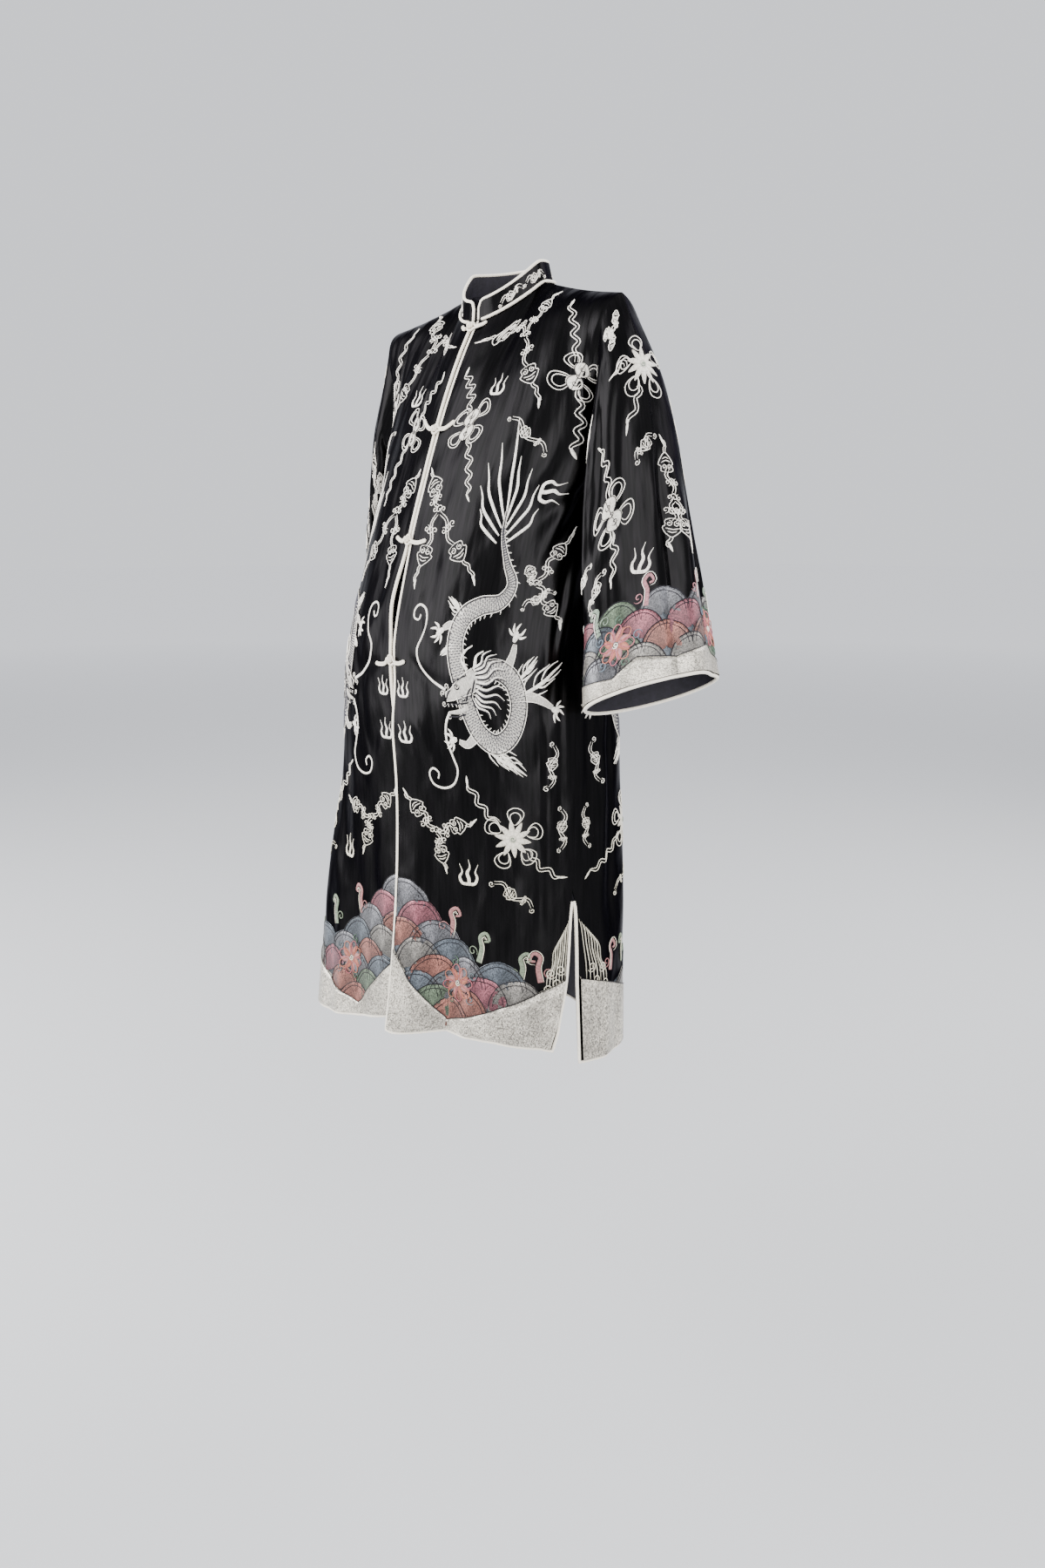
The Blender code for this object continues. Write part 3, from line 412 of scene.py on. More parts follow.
class Chart:
    """Points and outward directions of one piece of cloth, by place."""

    def __init__(self, points, outward, x_range, y_range, closed=False):
        self.closed = closed
        self.x_range, self.y_range = x_range, y_range
        self.rows, self.columns = points.shape[:2]
        self.normals = outward * unit(np.cross(self.slope(points, 0), self.slope(points, 1)))
        self.points = points
        self.tables = self.padded(points), self.padded(self.normals)

    def slope(self, table, axis):
        if axis == 1 and self.closed:
            return np.roll(table, -1, axis=1) - np.roll(table, 1, axis=1)
        return np.gradient(table, axis=axis)

    def padded(self, table):
        if self.closed:
            wide = np.concatenate([table[:, -1:], table, table[:, :2]], axis=1)
        else:
            wide = np.concatenate([2 * table[:, :1] - table[:, 1:2], table,
                                   2 * table[:, -1:] - table[:, -2:-1]], axis=1)
        return np.concatenate([2 * wide[:1] - wide[1:2], wide, 2 * wide[-1:] - wide[-2:-1]], axis=0)

    def read(self, table, x, y):
        last = self.columns if self.closed else self.columns - 1
        across = (x - self.x_range[0]) / (self.x_range[1] - self.x_range[0]) * last
        if self.closed:
            across = across % last
        across = np.clip(across, 0, last - 1e-6)
        down = np.clip((y - self.y_range[0]) / (self.y_range[1] - self.y_range[0]), 0, 1)
        down = np.clip(down * (self.rows - 1), 0, self.rows - 1 - 1e-6)
        j, i = across.astype(int), down.astype(int)
        wide, tall = weights(across - j), weights(down - i)
        result = np.zeros((len(x), 3))
        for a in range(4):
            for b in range(4):
                result += (tall[:, a] * wide[:, b])[:, None] * table[i + a, j + b]
        return result

    def lay(self, x, y, lift=0.0):
        """Points and outward directions at places; the lift is in millimetres."""
        x, y, lift = np.broadcast_arrays(*np.atleast_1d(x, y, lift))
        x, y, lift = (np.asarray(v, float) for v in (x, y, lift))
        normals = unit(self.read(self.tables[1], x, y))
        return self.read(self.tables[0], x, y) + normals * lift[:, None] / 1000, normals

    def scale(self, x, y):
        """How many units of place one millimetre takes, across and down."""
        corners = self.lay([x - 2, x + 2, x, x], [y, y, y - 2, y + 2])[0] * 1000
        return (4 / max(np.linalg.norm(corners[1] - corners[0]), 1.0),
                4 / max(np.linalg.norm(corners[3] - corners[2]), 1.0))


# %% [markdown]
# ## The panels' and sleeves' charts
# A panel's chart is its plain surface, moved along its outward direction by its folds and
# creases. A sleeve starts from the very edges of the front and the back, so that no gap opens.

# %% Charts of the panels and the sleeves
def share_down(y):
    """Share down a panel for a place in millimetres."""
    return np.where(y < SHOULDER_TO_CHEST, YOKE * y / SHOULDER_TO_CHEST,
                    YOKE + (1 - YOKE) * (y - SHOULDER_TO_CHEST) / (PANEL_MM - SHOULDER_TO_CHEST))


def soften(grid, times, closed=False):
    """Smooth a grid of points a little, its border left in place."""
    for _ in range(times):
        new = grid.copy()
        new[1:-1] = (grid[:-2] + 2 * grid[1:-1] + grid[2:]) / 4
        grid = new.copy()
        if closed:
            grid = (np.roll(new, 1, axis=1) + 2 * new + np.roll(new, -1, axis=1)) / 4
        else:
            grid[:, 1:-1] = (new[:, :-2] + 2 * new[:, 1:-1] + new[:, 2:]) / 4
    return grid


def panel_chart(piece):
    """A front or the back with its folds and creases."""
    side = -1.0 if piece == "front_right" else 1.0
    start = -HALF_MM if piece == "back" else -OVERLAP_MM
    columns = 161 if piece == "back" else 86
    x, y = np.meshgrid(np.linspace(start, HALF_MM, columns),
                       np.linspace(0, PANEL_MM, LINES_DOWN))
    shape = x.shape
    x, y = x.ravel(), y.ravel()
    across, down = side * x / HALF_MM, share_down(y)
    plain = soften(panel_plain(piece, across, down).reshape(*shape, 3), 2)
    outward = side if piece != "back" else -1.0
    chart = Chart(plain, outward, (start, HALF_MM), (0.0, PANEL_MM))
    fade = seam_fade(across, down)
    lift = fold_height(FOLDS[piece], across, down, QUARTER)
    if piece == "back":
        creases = crease_height(PANEL_CREASES * (0.95, 1, 1, 1, 1, 1, 0.9), np.abs(x), y, 1.0, 1.0)
        creases *= smooth(np.abs(x) / 40)
        lift = (lift + creases) * fade
    else:
        uneven = (1, 1, 1, 1, 1, 1, 1) if side > 0 else (0.93, 1.04, 0.95, 1.02, -1, 1.1, 0.9)
        lift = (lift + crease_height(PANEL_CREASES * uneven, x, y, 1.0, 1.0)) * fade
        distance, edge_lift = edge_values(piece, down)
        from_edge = x / HALF_MM - distance / QUARTER
        lift = lift * smooth(from_edge / 0.12) + edge_lift * (1 - smooth(from_edge / EDGE_FALL))
    moved = plain + chart.normals * lift.reshape(shape)[..., None]
    return Chart(moved, outward, (start, HALF_MM), (0.0, PANEL_MM))


def sleeve_chart(side):
    """A sleeve: a curve from the armhole through the sections, with folds and creases."""
    around = np.arange(LINES_ROUND) / LINES_ROUND
    along = np.linspace(0, 1, LINES_ALONG)
    front = "front_left" if side > 0 else "front_right"
    fore_y = np.clip(2 * around, 0, 1) * SHOULDER_TO_CHEST
    hind_y = np.clip(2 * (1 - around), 0, 1) * SHOULDER_TO_CHEST
    edge = np.where((around <= 0.5)[:, None], charts[front].lay(HALF_MM, fore_y)[0],
                    charts["back"].lay(side * HALF_MM, hind_y)[0])
    table = SLEEVE_TABLES[side]
    mirror = np.array([side, 1.0, 1.0])
    turn = tau * around[:, None]
    rings = [edge] + [(row[1:4] + row[4:7] * np.cos(turn) + row[7:10] * np.sin(turn)) * mirror
                      for row in table]
    rings = np.array(rings)
    places = np.concatenate([[0.0], table[:, 0]])
    leave = np.outer(1 - np.cos(tau * around), (side * UNDERARM_OUT / 2, 0.0, 0.0))
    slopes = [(rings[1] - rings[0]) / places[1] + leave]
    for k in range(1, len(places) - 1):
        slopes.append((rings[k + 1] - rings[k - 1]) / (places[k + 1] - places[k - 1]))
    slopes.append((rings[-1] - rings[-2]) / (places[-1] - places[-2]))
    grid = np.empty((len(along), len(around), 3))
    for i, share in enumerate(along):
        k = min(int(np.searchsorted(places, share, side="right")) - 1, len(places) - 2)
        span = places[k + 1] - places[k]
        grid[i] = hermite(rings[k], slopes[k] * span, rings[k + 1], slopes[k + 1] * span,
                          (share - places[k]) / span)
    plain = soften(grid, 1, closed=True)
    plain[0] = edge
    chart = Chart(plain, -float(side), (0.0, 1000.0), (0.0, 1000.0), closed=True)
    x, y = np.meshgrid(around * 1000, along * 1000)
    shape = x.shape
    x, y = x.ravel(), y.ravel()
    lift = np.zeros(len(x))
    for whole in (-1000.0, 0.0, 1000.0):
        lift += fold_height(SLEEVE_FOLDS, (x + whole) / 1000, y / 1000, 0.42)
        lift += crease_height(SLEEVE_CREASES, x + whole, y, SLEEVE_ROUND, SLEEVE_LONG) * smooth(y / 60)
    moved = plain + chart.normals * lift.reshape(shape)[..., None]
    return Chart(moved, -float(side), (0.0, 1000.0), (0.0, 1000.0), closed=True)


charts = {piece: panel_chart(piece) for piece in ("front_left", "front_right", "back")}
charts["sleeve_left"] = sleeve_chart(1)
charts["sleeve_right"] = sleeve_chart(-1)
for name, chart in charts.items():
    print(name, "chart", chart.rows, "by", chart.columns,
          "lowest", np.round(chart.points.reshape(-1, 3).min(axis=0), 3),
          "highest", np.round(chart.points.reshape(-1, 3).max(axis=0), 3))

# %% [markdown]
# ## Colours and finishes
# Silk satin is woven so that long smooth threads lie on top: it is nearly black straight on
# and throws a soft grey sheen where it turns to the light. The couched thread and the
# floss fill are silk as well, but they catch light stitch by stitch.

# %% A few helpers for materials
def linear(code, strength=1.0):
    """A colour from its sRGB hex code, as linear light."""
    parts = [int(code[i:i + 2], 16) / 255 for i in (1, 3, 5)]
    light = [p / 12.92 if p <= 0.04045 else ((p + 0.055) / 1.055) ** 2.4 for p in parts]
    return tuple(strength * p for p in light) + (1.0,)


def add(tree, kind, inputs=(), **settings):
    """One shader node with its settings; inputs are numbers, colours or other outputs."""
    node = tree.nodes.new(kind)
    for key, value in settings.items():
        setattr(node, key, value)
    for key, value in dict(inputs).items():
        if isinstance(value, bpy.types.NodeSocket):
            tree.links.new(value, node.inputs[key])
        else:
            node.inputs[key].default_value = value
    return node


def new_material(name, **constants):
    """A Principled material with constants set on its shader."""
    made = bpy.data.materials.new(name)
    made.use_nodes = True
    shader = made.node_tree.nodes["Principled BSDF"]
    for key, value in constants.items():
        shader.inputs[key.replace("_", " ")].default_value = value
    return made, made.node_tree, shader


def streaks(tree, scales, seed, detail=2.0):
    """Noise stretched along the threads, read from the piece's own map in metres."""
    place = add(tree, "ShaderNodeUVMap", uv_map="cloth")
    mapped = add(tree, "ShaderNodeMapping", {"Vector": place.outputs["UV"]})
    mapped.inputs["Scale"].default_value = (*scales, 1.0)
    mapped.inputs["Location"].default_value = (seed, seed * 0.37, 0.0)
    return add(tree, "ShaderNodeTexNoise",
               {"Vector": mapped.outputs["Vector"], "Scale": 1.0, "Detail": detail,
                "Roughness": 0.55}).outputs["Fac"]


def blend(tree, amount, low, high):
    """A colour between two, by an amount from 0 to 1."""
    ramp = add(tree, "ShaderNodeValToRGB", {"Fac": amount})
    ramp.color_ramp.elements[0].position = 0.3
    ramp.color_ramp.elements[1].position = 0.7
    ramp.color_ramp.elements[0].color = low
    ramp.color_ramp.elements[1].color = high
    return ramp.outputs["Color"]


# %% [markdown]
# ## Black satin
# The real cloth is silk charmeuse: long warp floats lie side by side, so it is black straight
# on and grey where it turns to the light. The plain gloss of a shader turns white at the
# edges, where dense floats hide each other, so the metal lobe is used for its dark edge tint.

# %% Black satin
satin, tree, shader = new_material(
    "black_satin", Roughness=0.3, Metallic=1.0, Specular_Tint=linear("#b2b2b3"),
    Sheen_Weight=0.02, Sheen_Roughness=0.4, Sheen_Tint=linear("#8d86a6"))
nap = streaks(tree, (260.0, 18.0), 3.1)
tree.links.new(blend(tree, nap, linear("#131313"), linear("#191819")), shader.inputs["Base Color"])
# The warp is finer than a pixel, so its grain is drawn about ten times coarser
grain = streaks(tree, (900.0, 60.0), 7.7)
wrinkle = streaks(tree, (21.0, 12.0), 1.3, detail=1.0)
fine = add(tree, "ShaderNodeBump", {"Height": grain, "Strength": 0.05, "Distance": 0.0004})
soft = add(tree, "ShaderNodeBump", {"Height": wrinkle, "Strength": 1.0, "Distance": 0.007,
                                    "Normal": fine.outputs["Normal"]})
ripple = streaks(tree, (64.0, 24.0), 5.9, detail=1.5)
short = add(tree, "ShaderNodeBump", {"Height": ripple, "Strength": 0.45, "Distance": 0.002,
                                     "Normal": soft.outputs["Normal"]})
tree.links.new(short.outputs["Normal"], shader.inputs["Normal"])

# %% [markdown]
# ## Lining
# A plain dark silk, dull because of its plain weave. Only a little of it shows, in the cuffs
# and under the hem, so a rough surface with an uneven tone is enough.

# %% Lining
lining, tree, shader = new_material("dark_lining", Roughness=0.7, Specular_IOR_Level=0.3)
tree.links.new(blend(tree, streaks(tree, (120.0, 90.0), 5.0), linear("#121016"), linear("#1e1b24")),
               shader.inputs["Base Color"])

# %% [markdown]
# ## Cream cord
# The cord is bias-cut satin rolled round a filler. Its twist could be modelled, but it is
# finer than a pixel here, so streaks with a low relief along the cord stand for it.

# %% Cream cord
cord_cream, tree, shader = new_material(
    "cream_cord", Roughness=0.5, Specular_IOR_Level=0.4, Sheen_Weight=0.25, Sheen_Roughness=0.5)
lay_of_cord = streaks(tree, (900.0, 240.0), 2.0)
tree.links.new(blend(tree, lay_of_cord, linear("#ddd2bf"), linear("#f7f0e1")),
               shader.inputs["Base Color"])
ridge = add(tree, "ShaderNodeBump", {"Height": lay_of_cord, "Strength": 0.3, "Distance": 0.0006})
tree.links.new(ridge.outputs["Normal"], shader.inputs["Normal"])

# %% [markdown]
# ## Silk thread and floss
# Thread is couched down along the lines of a motif, and flat floss fills its forms. Their
# colour is stored with the stitches, so that one finish serves every motif.

# %% Silk thread and floss
def stitched(name, scales, roughness, dark):
    """A thread finish: the stitches' own colour, streaked along their direction by uneven strands and a
    painted sheen.
    """
    made, tree, shader = new_material(
        name, Roughness=roughness, Specular_IOR_Level=0.15, Sheen_Weight=0.04, Sheen_Roughness=0.45)
    colour = add(tree, "ShaderNodeAttribute", attribute_name="silk_colour")
    if scales is None:
        place = add(tree, "ShaderNodeTexCoord")
        streak = add(tree, "ShaderNodeTexNoise", {"Vector": place.outputs["Object"],
                                                  "Scale": 650.0, "Detail": 1.0}).outputs["Fac"]
    else:
        streak = streaks(tree, scales, 4.0, detail=3.0)
    # The streaks scale the colour: partly uneven strands, partly a painted sheen of single stitches
    light = blend(tree, streak, (dark, dark, dark, 1.0), (1.08, 1.08, 1.08, 1.0))
    mixed = add(tree, "ShaderNodeMix", data_type="RGBA", blend_type="MULTIPLY")
    mixed.inputs[0].default_value = 1.0
    tree.links.new(colour.outputs["Color"], mixed.inputs[6])
    tree.links.new(light, mixed.inputs[7])
    tree.links.new(mixed.outputs[2], shader.inputs["Base Color"])
    bump = add(tree, "ShaderNodeBump", {"Height": streak, "Strength": 0.35, "Distance": 0.0005})
    tree.links.new(bump.outputs["Normal"], shader.inputs["Normal"])
    return made


thread_silk = stitched("couched_thread", None, 0.45, 0.6)
# Real floss stitches are about 0.3 mm apart; they are drawn about 1.2 mm apart to be seen
floss_silk = stitched("silk_floss", (820.0, 260.0), 0.42, 0.42)

# %% [markdown]
# ## Metal-wrapped floss
# A foil strip is wound on a silk core, and each turn glints by itself. The turns are far too
# many to model, so small cells of the finish stand for them: each cell's glint is a painted
# highlight in its colour, and each cell has its own tilt.

# %% Metal-wrapped floss
metal_silk, tree, shader = new_material(
    "silvered_floss", Roughness=0.36, Metallic=0.45, Specular_IOR_Level=0.5)
colour = add(tree, "ShaderNodeAttribute", attribute_name="silk_colour")
place = add(tree, "ShaderNodeUVMap", uv_map="cloth")
mapped = add(tree, "ShaderNodeMapping", {"Vector": place.outputs["UV"]})
mapped.inputs["Scale"].default_value = (1000.0, 620.0, 1.0)
# The foil's own turns are about 0.3 mm apart, and are drawn about 1 mm apart
grains = add(tree, "ShaderNodeTexVoronoi", {"Vector": mapped.outputs["Vector"], "Scale": 1.0})
spark = add(tree, "ShaderNodeSeparateColor", {"Color": grains.outputs["Color"]})
# Each cell's brightness is a painted glint, multiplied into the floss's colour
light = add(tree, "ShaderNodeMapRange", {"Value": spark.outputs["Red"], "To Min": 0.3, "To Max": 1.8})
mixed = add(tree, "ShaderNodeVectorMath", {0: colour.outputs["Color"]}, operation="SCALE")
tree.links.new(light.outputs["Result"], mixed.inputs["Scale"])
tree.links.new(mixed.outputs["Vector"], shader.inputs["Base Color"])
bump = add(tree, "ShaderNodeBump", {"Height": spark.outputs["Green"], "Strength": 0.5, "Distance": 0.0006})
tree.links.new(bump.outputs["Normal"], shader.inputs["Normal"])
print("materials", [m.name for m in (satin, lining, cord_cream, thread_silk, floss_silk, metal_silk)])

# %% [markdown]
# ## Cloth
# Each panel is a thin wall: the satin outside, and the lining 2 mm inside it. A solidify
# modifier would do the same, but then the seams could not share their edges so exactly.

# %% Build a wall of cloth from a grid of places
def grid_quads(rows, columns, closed=False):
    """Quads of a grid; a closed grid runs round to its first column."""
    i, j = np.meshgrid(np.arange(rows - 1), np.arange(columns if closed else columns - 1),
                       indexing="ij")
    k = (j + 1) % columns
    return np.stack([i * columns + j, i * columns + k, (i + 1) * columns + k,
                     (i + 1) * columns + j], axis=-1).reshape(-1, 4)


def facing(points, quads, normals):
    """The quads turned so that they face along the directions given at their corners."""
    a, b, c, d = (points[quads[:, k]] for k in range(4))
    face = np.cross(c - a, d - b)
    wrong = (face * normals[quads[:, 0]]).sum(axis=1) < 0
    turned = quads.copy()
    turned[wrong] = quads[wrong][:, ::-1]
    return turned


def make_object(name, points, faces, looks, map_points, slots=None, colours=None):
    """A mesh object with a map called cloth, in metres, and stitch colours if given."""
    mesh = bpy.data.meshes.new(name)
    mesh.from_pydata(points.tolist(), [], [tuple(map(int, face)) for face in faces])
    for look in looks:
        mesh.materials.append(look)
    if slots is not None:
        mesh.polygons.foreach_set("material_index", np.asarray(slots, dtype=np.int32))
    corners = np.empty(len(mesh.loops), dtype=np.int32)
    mesh.loops.foreach_get("vertex_index", corners)
    layer = mesh.uv_layers.new(name="cloth")
    layer.data.foreach_set("uv", np.asarray(map_points, np.float32)[corners].ravel())
    if colours is not None:
        attribute = mesh.color_attributes.new("silk_colour", "FLOAT_COLOR", "POINT")
        attribute.data.foreach_set("color", np.asarray(colours, np.float32).ravel())
    mesh.shade_smooth()
    made = bpy.data.objects.new(name, mesh)
    bpy.context.scene.collection.objects.link(made)
    return made


def cloth(name, chart, x, y, closed=False):
    """A wall of cloth over places x and y; returns the object and the outer grid."""
    shape = x.shape
    outer, normals = chart.lay(x.ravel(), y.ravel())
    inner = outer - normals * WALL
    count = len(outer)
    quads = grid_quads(*shape, closed)
    outside = facing(outer, quads, normals)
    inside = facing(inner, quads, -normals) + count
    border = np.arange(count).reshape(shape)
    if closed:
        rims = [np.append(border[0], border[0, 0]), np.append(border[-1], border[-1, 0])]
    else:
        rims = [np.concatenate([border[0], border[1:, -1], border[-1, -2::-1], border[-2::-1, 0]])]
    both = np.vstack([outer, inner])
    rim_quads = np.vstack([np.stack([rim[:-1], rim[1:], rim[1:] + count, rim[:-1] + count], axis=1)
                           for rim in rims])
    # Rim faces look away from the cloth beside them
    beside = outer.reshape(*shape, 3)
    inward = np.gradient(beside, axis=0)
    away = np.zeros_like(beside)
    away[0], away[-1] = -inward[0], inward[-1]
    if not closed:
        sideways = np.gradient(beside, axis=1)
        away[:, 0], away[:, -1] = -sideways[:, 0], sideways[:, -1]
    turned = facing(both, rim_quads, np.vstack([away.reshape(-1, 3)] * 2))
    faces = np.vstack([outside, inside, turned])
    slots = [0] * len(outside) + [1] * len(inside) + [0] * len(turned)
    scale = 1000.0 / SLEEVE_ROUND if closed else 1000.0
    flat = np.stack([x.ravel(), y.ravel()], axis=1) / scale
    made = make_object(name, both, faces, (satin, lining), np.vstack([flat, flat]), slots)
    return made, outer.reshape(*shape, 3), normals.reshape(*shape, 3)


print("a small wall has", len(grid_quads(3, 4)), "outer quads on 3 by 4 points")


# %% [markdown]
# ## The panels' edges
# A front stops short of the centre line, and below the hip the side seam opens into a slit.
# The grid's lines are drawn in towards these edges, so that no face has to be cut.

# %% Lay out the panels and build the cloth
def slit_pull(down):
    """How far the front's and the back's edge stand back from the side seam, in millimetres."""
    pull = through_rows(SLITS[:, 0], SLITS[:, 1:], down) * 1000
    pull[down <= SLIT_TOP] = 0.0
    return pull


def panel_places(piece):
    """Places across and down of a panel, its free edges and slits drawn in."""
    y = np.linspace(0, PANEL_MM, LINES_DOWN)
    down = share_down(y)
    slit = slit_pull(down)
    if piece == "back":
        columns = np.linspace(-1, 1, 151)
        pull = slit[:, 1:] * np.clip((np.abs(columns) - 0.6) / 0.4, 0, 1)
        x = columns * HALF_MM - np.sign(columns) * pull
    else:
        columns = np.linspace(0, 1, 80)
        distance, _ = edge_values(piece, down)
        start = distance[:, None] * 1000 * np.clip(1 - columns / NECK_SHARE, 0, 1)
        x = columns * HALF_MM + start - slit[:, :1] * np.clip((columns - 0.6) / 0.4, 0, 1)
    return x, np.repeat(y[:, None], x.shape[1], axis=1)


panels, outers, outward = {}, {}, {}
for piece in ("front_left", "front_right", "back"):
    panels[piece], outers[piece], outward[piece] = cloth(
        "cloth_" + piece, charts[piece], *panel_places(piece))
for piece in ("sleeve_left", "sleeve_right"):
    x, y = np.meshgrid(np.arange(LINES_ROUND) * 1000 / LINES_ROUND, np.linspace(0, 1000, 121))
    panels[piece], outers[piece], outward[piece] = cloth(
        "cloth_" + piece, charts[piece], x, y, closed=True)
for piece, item in panels.items():
    item.data.set_sharp_from_angle(angle=radians(60))
    print(piece, len(item.data.polygons), "faces")


# %% [markdown]
# ## Cords and piping
# The edges are bound with a cream cord. On the real gown it is sewn down stitch by stitch;
# here a round tube follows the very edge of the cloth and sinks a little into it.

# %% Tubes along a path
def tube(path, ups, radius, sides=10, closed=False, thickness=None):
    """Rings of a round cord along a path; returns points, quads, map and end faces."""
    path = np.asarray(path)
    if closed:
        run = np.roll(path, -1, axis=0) - np.roll(path, 1, axis=0)
    else:
        run = np.gradient(path, axis=0)
    run = unit(run)
    across = unit(np.cross(run, ups))
    up = np.cross(across, run)
    turn = tau * (np.arange(sides) + 0.5) / sides
    thick = radius if thickness is None else radius * np.asarray(thickness)[:, None, None]
    ring = thick * (np.cos(turn)[None, :, None] * up[:, None] + np.sin(turn)[None, :, None] * across[:, None])
    points = (path[:, None] + ring).reshape(-1, 3)
    count = len(path)
    quads = []
    for i in range(count if closed else count - 1):
        after = (i + 1) % count
        for j in range(sides):
            k = (j + 1) % sides
            quads.append((i * sides + j, i * sides + k, after * sides + k, after * sides + j))
    if not closed:
        quads.append(tuple(range(sides))[::-1])
        quads.append(tuple((count - 1) * sides + j for j in range(sides)))
    length = np.concatenate([[0], np.cumsum(np.linalg.norm(np.diff(path, axis=0), axis=1))])
    flat = np.stack([np.repeat(length, sides) + np.tile(turn, count) * radius,
                     np.tile(turn, count) * radius], axis=1)
    return points, quads, flat


def cord_object(name, runs):
    """One object from several tubes."""
    points, faces, flat, offset = [], [], [], 0
    for made, quads, uv in runs:
        points.append(made)
        flat.append(uv)
        faces += [tuple(corner + offset for corner in quad) for quad in quads]
        offset += len(made)
    return make_object(name, np.vstack(points), faces, (cord_cream,), np.vstack(flat))


def along_border(border, normals, radius, side):
    """Path of a cord round a border with corners: each point moved off along its mitre."""
    runs = unit(np.diff(border, axis=0))
    before = np.vstack([runs[:1], runs])
    after = np.vstack([runs, runs[-1:]])
    out_before = side * unit(np.cross(before, normals))
    out_after = side * unit(np.cross(after, normals))
    mitre = unit(out_before + out_after)
    reach = (radius - SUNK) / np.maximum((mitre * out_before).sum(axis=1, keepdims=True), 0.5)
    return border + mitre * reach - normals * WALL / 2


# %% [markdown]
# ## Piping of the fronts, the hem, the slits and the cuffs
# One cord runs down a front, along its hem and up its slit. At a corner it follows the mitre,
# so it keeps its distance from the cloth on both sides.

# %% Piping
# The first line of the grid below the slit's top
slit_row = int(np.ceil((SHOULDER_TO_CHEST + (SLIT_TOP - YOKE) / (1 - YOKE)
                        * (PANEL_MM - SHOULDER_TO_CHEST)) / PANEL_MM * (LINES_DOWN - 1))) + 3
pipings = {}
for node, piece, first, side in (("front_cord_left", "front_left", 0, 1),
                                 ("front_cord_right", "front_right", 0, -1),
                                 ("back_cord", "back", slit_row, -1)):
    def round_three(grid):
        return np.vstack([grid[first:-1, 0], grid[-1], grid[slit_row:-1, -1][::-1]])
    around = round_three(outward[piece])
    path = along_border(round_three(outers[piece]), around, CORD_EDGE, side)
    pipings[node] = cord_object("piping_" + node, [tube(path, around, CORD_EDGE)])
for side, piece in ((1, "sleeve_left"), (-1, "sleeve_right")):
    edge, inside = outers[piece][-1], outers[piece][-2]
    up = outward[piece][-1]
    path = edge + unit(edge - inside) * (CORD_EDGE - SUNK) - up * WALL / 2
    node = piece.replace("sleeve", "cuff_cord")
    pipings[node] = cord_object("piping_" + node, [tube(path, up, CORD_EDGE, closed=True)])
print("piping", {node: len(item.data.polygons) for node, item in pipings.items()})

# %% [markdown]
# ## Collar
# A standing band with rounded front corners, stiffened inside on the real gown. It is built
# on the finished neckline, so that it stands exactly where the panels end.

# %% The collar and its two cords
def collar_height(length, total):
    """Height of the collar by distance along the neck: its ends have rounded corners."""
    from_end = np.minimum(length, total - length)
    radius = COLLAR_HEIGHT - COLLAR_FRONT
    short = np.clip(radius - from_end, 0, radius)
    return COLLAR_FRONT + np.sqrt(radius**2 - short**2)


neck_mm = NECK_SHARE * HALF_MM
front_run = np.linspace(5.6, neck_mm, 30)
back_run = np.linspace(neck_mm, -neck_mm, 61)[1:-1]
left_line = charts["front_left"].lay(front_run, 0.0)
back_line = charts["back"].lay(back_run, 0.0)
right_line = charts["front_right"].lay(front_run[::-1], 0.0)
line = np.vstack([left_line[0], back_line[0], right_line[0]])
panel_out = np.vstack([left_line[1], back_line[1], right_line[1]])
length = np.concatenate([[0], np.cumsum(np.linalg.norm(np.diff(line, axis=0), axis=1))])
even = np.linspace(0, length[-1], 121)
line = np.stack([np.interp(even, length, line[:, k]) for k in range(3)], axis=1)
panel_out = unit(np.stack([np.interp(even, length, panel_out[:, k]) for k in range(3)], axis=1))
for _ in range(3):
    line[1:-1] = (line[:-2] + 2 * line[1:-1] + line[2:]) / 4
    panel_out[1:-1] = unit(panel_out[:-2] + 2 * panel_out[1:-1] + panel_out[2:])
run = unit(np.gradient(line, axis=0))
out = unit(np.cross(run, (0.0, 0.0, 1.0)) * (1.0, 1.0, 0.0))
rise = unit(np.array((0.0, -0.10, 1.0)) - out * COLLAR_LEAN)
height = collar_height(even, length[-1])
shares = np.linspace(0, 1, 9)
band = np.array([line + rise * (height * share)[:, None] for share in shares[::-1]])
collar_mm = length[-1] * 1000
# The collar's chart runs from its upper edge, 0, down to its seam, 23
charts["collar"] = Chart(band, 1.0, (0.0, collar_mm), (0.0, 23.0))
if (charts["collar"].normals[4] * out).sum() < 0:
    charts["collar"] = Chart(band, -1.0, (0.0, collar_mm), (0.0, 23.0))
x, y = np.meshgrid(np.linspace(0, collar_mm, 121), np.linspace(0, 23, 9))
panels["collar"], collar_grid, collar_out = cloth("cloth_collar", charts["collar"], x, y)
panels["collar"].data.set_sharp_from_angle(angle=radians(60))
free = np.vstack([collar_grid[1:-1, 0][::-1], collar_grid[0], collar_grid[1:-1, -1]])
free_out = np.vstack([collar_out[1:-1, 0][::-1], collar_out[0], collar_out[1:-1, -1]])
edge_path = along_border(free, free_out, CORD_COLLAR, 1)
if np.linalg.norm(edge_path[60] - collar_grid[4, 60]) < np.linalg.norm(free[60] - collar_grid[4, 60]):
    edge_path = along_border(free, free_out, CORD_COLLAR, -1)
pipings["collar_edge_cord"] = cord_object("piping_collar_edge_cord",
                                          [tube(edge_path, free_out, CORD_COLLAR)])
nestle = panel_out + collar_out[-1]
nestle = nestle / (1 + (panel_out * collar_out[-1]).sum(axis=1, keepdims=True))
seam = line + nestle * CORD_COLLAR
pipings["collar_seam_cord"] = cord_object("piping_collar_seam_cord",
                                          [tube(seam[2:-2], panel_out[2:-2], CORD_COLLAR)])
print("collar", round(collar_mm), "mm round the neck")

